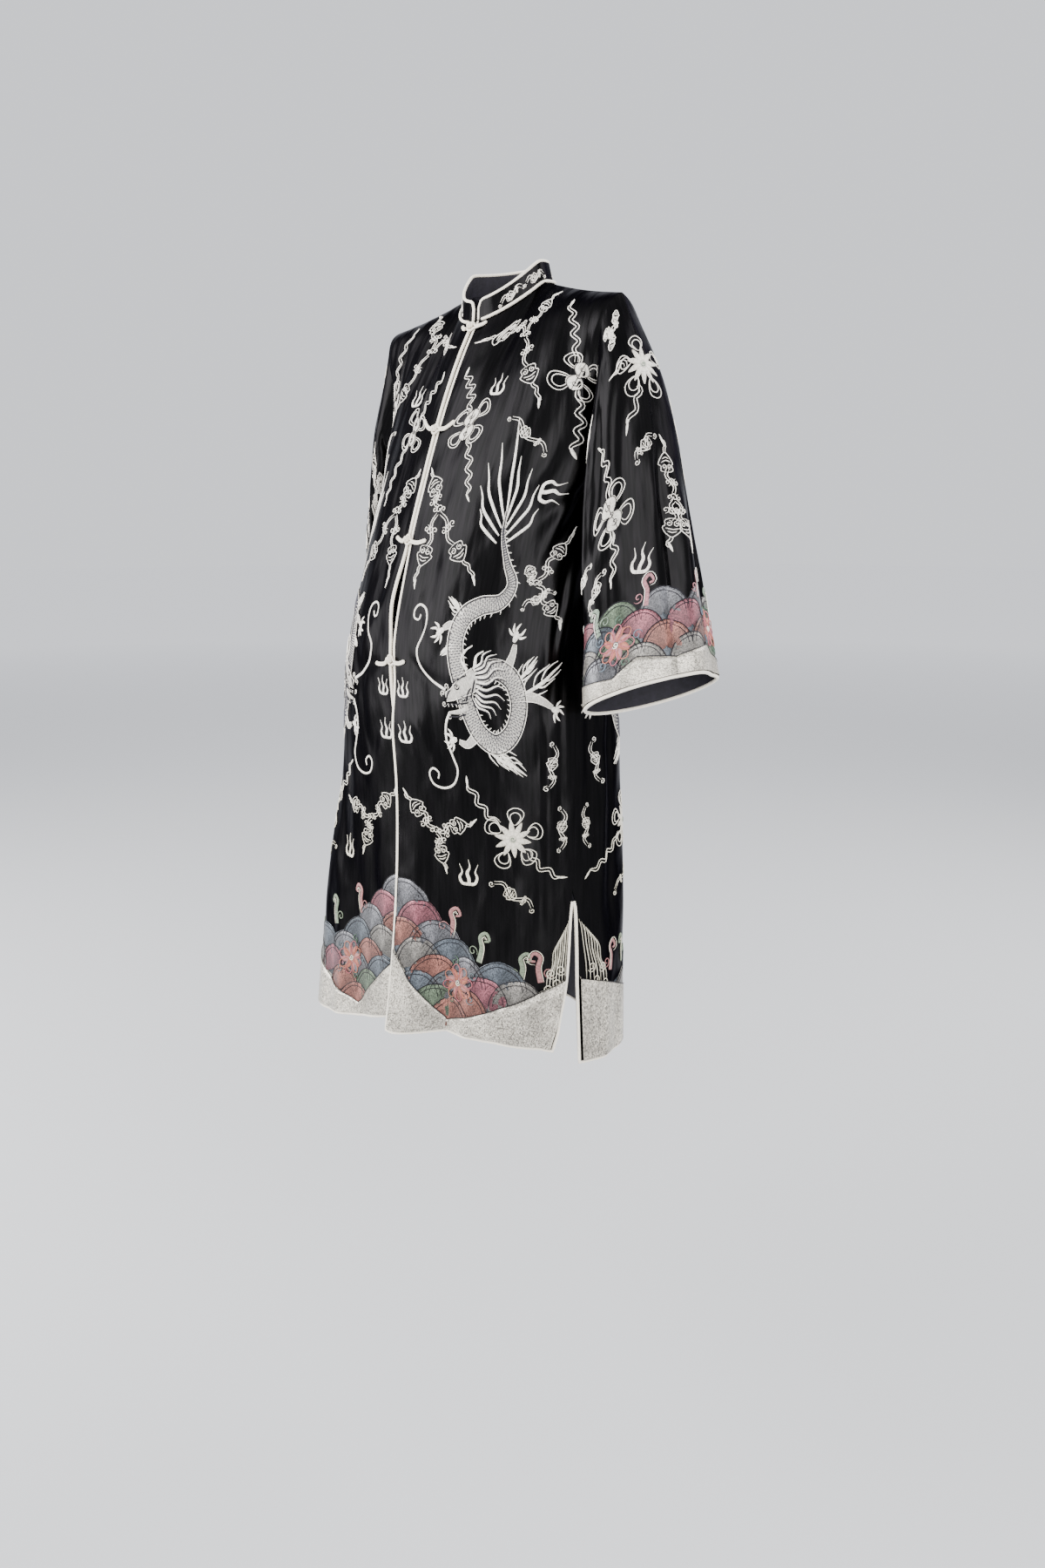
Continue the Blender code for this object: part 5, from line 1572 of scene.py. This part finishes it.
def couching_tree():
    """Geometry nodes: wires to round threads, as thick as each point says."""
    tree = bpy.data.node_groups.new("couched_threads", "GeometryNodeTree")
    tree.interface.new_socket("Geometry", in_out="INPUT", socket_type="NodeSocketGeometry")
    sides = tree.interface.new_socket("Sides", in_out="INPUT", socket_type="NodeSocketInt")
    tree.interface.new_socket("Geometry", in_out="OUTPUT", socket_type="NodeSocketGeometry")
    given = tree.nodes.new("NodeGroupInput")
    result = tree.nodes.new("NodeGroupOutput")
    to_curve = tree.nodes.new("GeometryNodeMeshToCurve")
    ring = tree.nodes.new("GeometryNodeCurvePrimitiveCircle")
    ring.inputs["Radius"].default_value = 0.001
    thickness = tree.nodes.new("GeometryNodeInputNamedAttribute")
    thickness.data_type = "FLOAT"
    thickness.inputs["Name"].default_value = "thickness"
    to_mesh = tree.nodes.new("GeometryNodeCurveToMesh")
    to_mesh.inputs["Fill Caps"].default_value = True
    real = tree.nodes.new("GeometryNodeRealizeInstances")
    dressed = tree.nodes.new("GeometryNodeSetMaterial")
    dressed.inputs["Material"].default_value = thread_silk
    link = tree.links.new
    link(given.outputs["Geometry"], to_curve.inputs["Mesh"])
    link(given.outputs["Sides"], ring.inputs["Resolution"])
    link(to_curve.outputs["Curve"], to_mesh.inputs["Curve"])
    link(ring.outputs["Curve"], to_mesh.inputs["Profile Curve"])
    link(thickness.outputs["Attribute"], to_mesh.inputs["Scale"])
    link(to_mesh.outputs["Mesh"], real.inputs["Geometry"])
    link(real.outputs["Geometry"], dressed.inputs["Geometry"])
    link(dressed.outputs["Geometry"], result.inputs["Geometry"])
    return tree, sides.identifier


couching, sides_input = couching_tree()


def finish_threads(name, wires):
    """One object of all threads on a piece, made from wires by the geometry-nodes tree."""
    points = np.vstack([w[0] for w in wires])
    edges, offset = [], 0
    for made, _, _ in wires:
        edges += [(offset + k, offset + k + 1) for k in range(len(made) - 1)]
        offset += len(made)
    mesh = bpy.data.meshes.new(name + "_wires")
    mesh.from_pydata(points.tolist(), edges, [])
    thick = mesh.attributes.new("thickness", "FLOAT", "POINT")
    thick.data.foreach_set("value", np.concatenate([w[1] for w in wires]).astype(np.float32))
    colour = mesh.attributes.new("silk_colour", "FLOAT_COLOR", "POINT")
    colours = dulled(points, np.vstack([np.tile(w[2], (len(w[0]), 1)) for w in wires])).astype(np.float32)
    colour.data.foreach_set("color", colours.ravel())
    wire = bpy.data.objects.new(name + "_wires", mesh)
    bpy.context.scene.collection.objects.link(wire)
    modifier = wire.modifiers.new("couching", "NODES")
    modifier.node_group = couching
    modifier[sides_input] = THREAD_SIDES
    bpy.context.view_layer.update()
    evaluated = wire.evaluated_get(bpy.context.evaluated_depsgraph_get())
    finished = bpy.data.meshes.new_from_object(evaluated)
    finished.shade_smooth()
    made = bpy.data.objects.new(name, finished)
    bpy.context.scene.collection.objects.link(made)
    bpy.data.objects.remove(wire, do_unlink=True)
    return made


# %% [markdown]
# ## Where the motifs sit
# One list for a front, in millimetres from the centre line and down from the shoulder. The
# right front mirrors it, and each half of the back repeats it without the marks that sit on
# the front edge.

# %% The motifs of a front and of a sleeve
# The kind, its centre, where its arms or ribbons end, and its sizes
front_motifs = (
    (cloud, (111, 71), [(150, 16), (22, 40), (178, 138)], {}),
    (flame, (93, 120), [], {"size": 24.0}),
    (flame, (217, 222), [], {"size": 28.0, "angle": 0.1}),
    (flame, (122, 662), [], {"size": 26.0}),
    (emblem, (62, 150), [(20, 78, 3), (100, 228, -4)], {"size": 19.0}),
    (small_cloud, (166, 164), [(140, 150), (196, 180)], {}),
    (emblem, (246, 112), [(198, 32, 4), (232, 182, -4)], {"turn": 0.5}),
    (cloud, (51, 239), [(16, 194), (32, 326), (136, 320)], {"size": 12.5}),
    (cloud, (222, 322), [(204, 300), (264, 264), (268, 370)], {"size": 9.5}),
    (small_cloud, (226, 340), [(210, 348), (248, 332)], {"size": 6.5}),
    (small_cloud, (258, 530), [(264, 508), (254, 556)], {"size": 9.0}),
    (cloud, (65, 612), [(14, 570), (132, 598), (82, 658)], {"size": 10.5}),
    (lotus, (196, 616), [(122, 550, -5), (276, 666, 5)], {}),
    (small_cloud, (276, 606), [(277, 584), (275, 630)], {"size": 8.0}),
    (small_cloud, (194, 682), [(166, 668), (226, 698)], {"size": 9.0}))
edge_motifs = ((flame, (24, 500), [], {"size": 22.0}), (flame, (22, 448), [], {"size": 20.0}))

sleeve_motifs = (
    (cloud, (83, 100), [(42, 40), (150, 60), (120, 168)], {"size": 10.5}),
    (lotus, (0, 262), [(120, 246, -6), (84, 400, 5)], {}),
    (small_cloud, (32, 455), [(2, 436), (58, 478)], {"size": 9.0}),
    (cloud, (955, 580), [(968, 446), (918, 700), (985, 700)], {"size": 10.5}),
    (cloud, (410, 110), [(370, 70), (446, 150)], {"size": 9.0}),
    (emblem, (139, 560), [(178, 380, -5), (146, 726, 5)], {"size": 20.0, "turn": 0.4}),
    (flame, (62, 712), [], {"size": 27.0, "angle": -1.9}),
    (small_cloud, (200, 712), [(176, 680), (226, 744)], {"size": 9.0}),
    (emblem, (800, 330), [(772, 190, 5), (784, 470, -5)], {"size": 17.0}),
    (cloud, (300, 330), [(240, 250), (350, 240), (306, 450)], {"size": 10.5}),
    (flame, (330, 560), [], {"size": 24.0}),
    (small_cloud, (262, 640), [(228, 620), (296, 660)], {}),
    (cloud, (720, 640), [(660, 690), (776, 690), (720, 520)], {"size": 10.0}),
    (flame, (868, 650), [], {"size": 24.0}),
    (cloud, (540, 640), [(500, 690), (590, 600)], {"size": 9.0}))


# %% [markdown]
# ## The wave border
# Rows of fans stand one before the other, as fish scales do, each with a dark inset line.
# Below them lies a broad band of pale slanting stitches in the shape of a mountain.

# %% Fans, curls, peony and foam
FAN_COLOURS = [linear(code, 0.36) for code in (
    "#85858a", "#6f8068", "#a8646f", "#687079", "#ae7264", "#788a70", "#9a958e")]
# The upper line of the fans and of the band on a front, in millimetres of place
FRONT_TOP = np.array([(-18, 676), (8, 672), (26, 680), (79, 722), (111, 748), (150, 768), (182, 780),
                      (238, 800), (295, 790)], float)
FRONT_BAND = np.array([(-18, 768), (-6, 772), (40, 830), (83, 882), (130, 862), (190, 834), (253, 806),
                       (295, 790)], float)
ROW_LIFT = 0.24              # each row of fans lies over the one above it
FAN_RADIUS, FAN_PITCH, ROW_STEP = 34.0, 55.0, 26.0   # on the panels
CUFF_RADIUS, CUFF_FANS, CUFF_STEP = 31.0, 8, 40      # on the sleeves
LAST_FAN = 262.0             # the fans stop here, short of the slit
FIRST_STITCH = -8.0          # the border starts past the centre line on a front


def fan(sewing, place, radius, colour, lift):
    """One fan: a filled half round with a pale rim and a dark inset line."""
    angle = np.linspace(pi - 0.3, tau + 0.3, 17)
    reach = np.array([0.05, 0.35, 0.65, 0.9, 1.0, 1.02])
    high = np.array([0.35, 0.5, 0.5, 0.45, 0.3, -0.4]) + lift
    grow = sewing.chart.scale(*place)
    x = place[0] + grow[0] * radius * np.cos(angle)[:, None] * reach
    y = place[1] + grow[1] * radius * np.sin(angle)[:, None] * reach
    flat = np.stack([np.broadcast_to(angle[:, None] * radius, x.shape),
                     np.broadcast_to(reach * radius, x.shape)], axis=-1) / 1000
    # The floss is paler towards the rim, and a painted highlight brightens the sector whose stitches lie
    # towards the light
    shade = np.array([0.75, 0.8, 0.9, 1.05, 1.2, 1.2])
    turned = 0.35 * sin(place[0] * 0.13 + place[1] * 0.07)
    painted_highlight = 0.78 + 0.95 * np.exp(-((angle - 1.5 * pi - turned) / 0.38) ** 2)
    colours = np.ones((*x.shape, 4))
    colours[..., :3] = np.array(colour[:3]) * (painted_highlight[:, None] * shade)[..., None]
    sewing.patch(x, y, np.broadcast_to(high, x.shape), flat, colours.reshape(-1, 4), metal=True)
    arc = np.linspace(pi + 0.02, tau - 0.02, 21)
    for share, look, width, more in ((0.99, INK, 0.7, 0.0), (0.85, INK, 0.6, 0.1)):
        path = radius * share * np.stack([np.cos(arc), np.sin(arc)], axis=1)
        sewing.sew([("thread", path, np.full(len(path), width), look)], place, lift=lift + more)


# %% [markdown]
# ## Curls, peony and foam
# Sprays leap off the upper line of the waves, and a peony floats on them. They are drawn with
# the same strips and spirals as the other motifs, only in the colours of the border.

# %% Curls and peony
def curl(sewing, place, colour, size=12.0, hand=1, lift=0.4):
    """A hooked spray that leaps off the waves."""
    path = curve([(hand * size * a, size * b) for a, b in (
        (0.0, 1.0), (0.2, 0.0), (0.05, -0.7), (0.5, -1.0), (0.75, -0.55), (0.4, -0.45))], 2.2)
    marks = [strip(path, np.linspace(size * 0.22, size * 0.07, len(path)), colour),
             over(thread(path + sideways(path) * size * 0.2, WHITE, 0.5)),
             spiral((-hand * size * 0.5, size * 0.3), size * 0.4, 1.3, 0.5, -hand, colour)]
    sewing.sew(marks, place, lift=lift)


def peony(sewing, place, size=24.0, lift=1.9):
    """A coral flower with loose curled petals and leaves."""
    marks = []
    for k in range(8):
        angle, centre = k * tau / 8 + 0.2, (0.0, 0.0)
        marks += [leaf(polar(centre, angle, size * 0.15), polar(centre, angle, size * 0.75), size * 0.16, 0.1,
                       CORAL if k % 2 else ROSE),
                  over(loop(polar(centre, angle + 0.4, size * 0.2), angle + 0.4, size * 0.65, size * 0.36,
                            WINE if k % 2 else CORAL))]
    for k in range(5):
        angle = k * tau / 5 + 0.7
        marks.append(spiral(polar((0, 0), angle, size), size * 0.24, 1.2, angle, 1,
                            MOSS if k % 2 else STEEL, 0.6))
    marks.append(over(spiral((0, 0), size * 0.16, 1.5, 0, 1, WHITE, 0.7)))
    sewing.sew(marks, place, lift=lift)


# %% [markdown]
# ## The pale band, and the border as a whole
# The band's stitches slant, so its map is turned. It hides the feet of the lowest fans, as
# the real one does, and plain floss fills the small gaps between the fans.

# %% Band, ground and border
def band(sewing, line, x_from, x_to, lift, bottom, flip=1.0, step=4.0):
    """The slanting-stitch band, from its upper line down to the hem."""
    x = np.linspace(x_from, x_to, int(abs(x_to - x_from) / step) + 2)
    top = np.interp(x, line[:, 0], line[:, 1])
    share = np.array([0.0, 0.015, 0.2, 0.4, 0.6, 0.8, 1.0])
    y = top[:, None] + (bottom - top)[:, None] * share
    wide = np.broadcast_to(x[:, None], y.shape) * flip
    lifts = np.broadcast_to(np.array([-0.3, 1, 1, 1, 1, 1, 1]) * 0.5 + lift, y.shape).copy()
    lifts[:, 0] = -0.3
    mm = sewing.chart.scale(0.0 if flip else x_from, bottom)[0]
    slant = 0.82
    across = wide / mm
    flat = np.stack([across * slant + y * (1 - slant), y * slant - across * (1 - slant)], axis=-1) / 1000
    tone = 1 + 0.14 * np.sin(across / 23 + y / 41) + 0.1 * np.sin(across / 9 - y / 17)
    colours = np.ones((*y.shape, 4))
    colours[..., :3] = np.array(linear("#cdc6b8", 0.6)[:3]) * tone[..., None]
    sewing.patch(wide, y, lifts, flat, colours.reshape(-1, 4), metal=True)
    place = np.stack([x * flip, top], axis=1)
    points, _ = sewing.chart.lay(*sewing.inside(*place.T), lift + 0.5)
    sewing.wires.append((points, np.full(len(points), 0.5), INK))


def ground(sewing, upper, lower, x_from, x_to, flip=1.0):
    """Plain floss under the fans, so that no satin shows between them."""
    x = np.linspace(x_from, x_to, int((x_to - x_from) / 6) + 2)
    top, low = np.interp(x, *upper.T) + 20, np.interp(x, *lower.T) + 6
    y = top[:, None] + (low - top)[:, None] * np.linspace(0, 1, 8)
    wide = np.broadcast_to(x[:, None], y.shape)
    sewing.patch(flip * wide, y, np.full(y.shape, 0.12), np.stack([wide, y], axis=-1) / 1000,
                 np.array(FAN_COLOURS[3]), metal=True)


def wave_border(sewing, flip=1.0, edge=True):
    """The border of a front, or of one half of the back."""
    for r in range(8):
        y = 710 + r * ROW_STEP
        for c in range(7):
            x = 8 + (c + 0.5 * (r % 2)) * FAN_PITCH
            top, low = np.interp(x, *FRONT_TOP.T), np.interp(x, *FRONT_BAND.T)
            if not top - 10 <= y - FAN_RADIUS <= low - 14 or x > LAST_FAN:
                continue
            colour = FAN_COLOURS[(2 * r + 3 * c + (r * c) % 2) % len(FAN_COLOURS)]
            fan(sewing, (flip * x, y), FAN_RADIUS, colour, ROW_LIFT * r)
    for x, y, colour, hand in ((88, 724, ROSE, 1), (142, 752, SAGE, 1), (206, 778, SAGE, 1),
                               (240, 778, ROSE, -1)):
        curl(sewing, (flip * x, y), colour, 18.0, hand)
    start = FIRST_STITCH if edge else 0.0
    ground(sewing, FRONT_TOP, FRONT_BAND, start, LAST_FAN, flip)
    band(sewing, FRONT_BAND, start, HALF_MM, 2.3, PANEL_MM, flip)
    peony(sewing, (flip * 104, 812), 26.0, 1.8)
    for k in range(7):
        path = [(248 + 5.2 * k, 808 - 2 * k), (250 + 5.0 * k, 792 - 3 * k), (258 + 4.2 * k, 776 - 5 * k),
                (260 + 4.2 * k, 758 - 5 * k), (270 + 3.0 * k, 742 - 4 * k)]
        sewing.sew([thread(curve(path, 3.0), WHITE if k % 2 else SILVER, 0.8)], flip=flip, lift=0.5)
    for x, y in ((252, 808), (266, 800), (256, 786), (272, 782)):
        sewing.sew([spiral((0, 0), 7.0, 1.6, 0.4, 1)], (flip * x, y), lift=1.0)


# %% [markdown]
# ## Sewing it all
# Each piece of cloth gets its own threads and fills. The back is hidden in the photo and
# repeats the fronts, so that the gown is finished all round.

# %% Sew the fronts, the back and the sleeves
jobs = {piece: Sewing(piece) for piece in charts}
for piece, flips in (("front_left", (1.0,)), ("front_right", (1.0,)), ("back", (1.0, -1.0))):
    for flip in flips:
        for kind, place, tips, sizes in front_motifs:
            jobs[piece].motif(kind, place, tips, sizes, flip)
        jobs[piece].sew(dragon(), flip=flip)
        wave_border(jobs[piece], flip, edge=piece != "back")
for piece in ("front_left", "front_right"):
    for kind, place, tips, sizes in edge_motifs:
        jobs[piece].motif(kind, place, tips, sizes)
CUFF_BAND = np.array([(0, 958), (90, 934), (153, 966), (300, 934), (450, 964), (600, 934), (760, 966),
                      (903, 934), (1000, 958)], float)
for piece in ("sleeve_left", "sleeve_right"):
    work = jobs[piece]
    for kind, place, tips, sizes in sleeve_motifs:
        work.motif(kind, place, tips, sizes)
    for r in range(4):
        for c in range(CUFF_FANS):
            place = ((c + 0.5 * (r % 2)) * 1000 / CUFF_FANS + 20, 852 + r * CUFF_STEP)
            colour = FAN_COLOURS[(c + 2 * r) % len(FAN_COLOURS)]
            fan(work, place, CUFF_RADIUS, colour, ROW_LIFT * r)
    for k, x in enumerate((60, 190, 330, 480, 640, 780, 920)):
        curl(work, (x, 786 + 12 * (k % 2)), (ROSE, SAGE)[k % 2], 16.0, 1 if k % 2 else -1)
    ground(work, np.array([(0, 812), (1000, 812)], float), CUFF_BAND, 0.0, 1000.0)
    band(work, CUFF_BAND, 0.0, 1000.0, 1.3, 1000.0, step=8.0)
    for x, y in ((139, 886), (500, 886), (840, 880)):
        peony(work, (x, y), 24.0, 1.3)
for start, end in ((0.09, 0.27), (0.73, 0.91)):
    first, last = start * collar_mm, end * collar_mm
    jobs["collar"].sew(small_cloud([(first, 14), ((first + last) / 2 - 3, 10)], 6.5)
                       + small_cloud([((first + last) / 2 + 4, 10), (last, 14)], 6.5))
for start in (0.36, 0.53):
    jobs["collar"].sew(small_cloud([(start * collar_mm, 13), ((start + 0.11) * collar_mm, 10)], 6.5))
work_pieces = {}
for piece, job in jobs.items():
    work_pieces[piece] = [finish_threads("threads_" + piece, job.wires)]
    for word, rows, look in (("fills_", job.fills, floss_silk), ("waves_", job.metal, metal_silk)):
        if rows:
            work_pieces[piece].append(finish_fills(word + piece, rows, look))
    print(piece, [(o.name, sum(len(p.vertices) - 2 for p in o.data.polygons)) for o in work_pieces[piece]])

# %% [markdown]
# ## Light, floor and camera
# The photo is a plain studio picture: pale wall and floor, broad soft light from the left
# front and above, and a camera near chest height that looks slightly down.

# %% Stage
BACK_TINT = linear("#c4c6cb")
floor_look, tree, shader = new_material("pale_floor", Roughness=0.85, Specular_IOR_Level=0.2)
place = add(tree, "ShaderNodeTexCoord")
# The floor's colour is a painted pool of light: lightest under the gown, darker far away
far = add(tree, "ShaderNodeVectorMath", {0: place.outputs["Object"]}, operation="LENGTH")
away = add(tree, "ShaderNodeMapRange", {"Value": far.outputs["Value"], "From Min": 1.5, "From Max": 14.0,
                                        "To Min": 0.7, "To Max": 0.3})
tree.links.new(blend(tree, away.outputs["Result"], linear("#fdfdfe"), linear("#bbbcbe")),
               shader.inputs["Base Color"])
mesh = bpy.data.meshes.new("floor")
FLOOR_Z, FLOOR_HALF = -1.545, 60.0
rows = [(x, y, FLOOR_Z) for x, y in ((-FLOOR_HALF, -FLOOR_HALF), (FLOOR_HALF, -FLOOR_HALF),
                                     (FLOOR_HALF, FLOOR_HALF), (-FLOOR_HALF, FLOOR_HALF))]
mesh.from_pydata(rows, [], [(0, 1, 2, 3)])
mesh.materials.append(floor_look)
floor = bpy.data.objects.new("floor", mesh)
bpy.context.scene.collection.objects.link(floor)

world = bpy.data.worlds.new("studio")
bpy.context.scene.world = world
world.use_nodes = True
world.node_tree.nodes["Background"].inputs["Color"].default_value = BACK_TINT
world.node_tree.nodes["Background"].inputs["Strength"].default_value = 1.85


def softbox(name, place, target, size, power, tint="#ffffff"):
    """A large square light aimed at a point."""
    data = bpy.data.lights.new(name, "AREA")
    data.shape, data.size, data.energy = "SQUARE", size, power
    data.color = linear(tint)[:3]
    lamp = bpy.data.objects.new(name, data)
    lamp.location = place
    lamp.rotation_euler = (Vector(target) - Vector(place)).to_track_quat("-Z", "Y").to_euler()
    bpy.context.scene.collection.objects.link(lamp)


softbox("key", (-1.9, -2.8, 0.9), (0, 0, -0.45), 3.6, 400)
softbox("fill", (3.2, -1.2, 0.6), (0, 0, -0.5), 3.0, 190)
softbox("rim", (0.8, 2.8, 1.6), (0, 0, -0.4), 2.6, 140)

# %% [markdown]
# ## Camera
# The camera was set until the gown's outline lay on the one in the photo. Its numbers are kept
# as a turn round the gown, a distance, a height and a tilt, because those can be read.

# %% Camera
CAMERA_TURN, CAMERA_AWAY, CAMERA_Z, CAMERA_TILT = radians(50), 1.47, -0.32, radians(12)
LENS_MM, LENS_PIXELS, AXIS_LEFT = 25.8, 1290.0, 22.0
yaw = atan(AXIS_LEFT / (LENS_PIXELS / cos(CAMERA_TILT)))
heading = CAMERA_TURN - yaw
forward = Vector((-sin(heading) * cos(CAMERA_TILT), cos(heading) * cos(CAMERA_TILT), -sin(CAMERA_TILT)))
right = Vector((cos(heading), sin(heading), 0.0))
up = right.cross(forward)
lens = bpy.data.cameras.new("camera")
lens.lens, lens.sensor_width, lens.sensor_fit = LENS_MM, 36.0, "AUTO"
camera = bpy.data.objects.new("camera", lens)
camera.matrix_world = Matrix.Translation(
    (sin(CAMERA_TURN) * CAMERA_AWAY, -cos(CAMERA_TURN) * CAMERA_AWAY, CAMERA_Z)) @ Matrix(
    (right, up, -forward)).transposed().to_4x4()
bpy.context.scene.collection.objects.link(camera)
bpy.context.scene.camera = camera
print("camera", [round(v, 3) for v in camera.matrix_world.translation])

# %% [markdown]
# ## What each piece stands for
# Every visible piece rides on the gown's one body, and stands for the CAD nodes it covers.
# The satin area of each cloth piece is printed.

# %% Roles
for piece, item in panels.items():
    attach(item, "root")
    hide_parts(piece)
for node, item in {**pipings, **fastenings}.items():
    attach(item, "root")
    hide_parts(node)
for items in work_pieces.values():
    for item in items:
        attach(item, "root")


def outer_area(item):
    """Area of the satin side of a wall, in square metres."""
    return sum(p.area for p in item.data.polygons if p.material_index == 0)


for piece, item in panels.items():
    print("sheet", piece, "outer area", round(outer_area(item), 4))
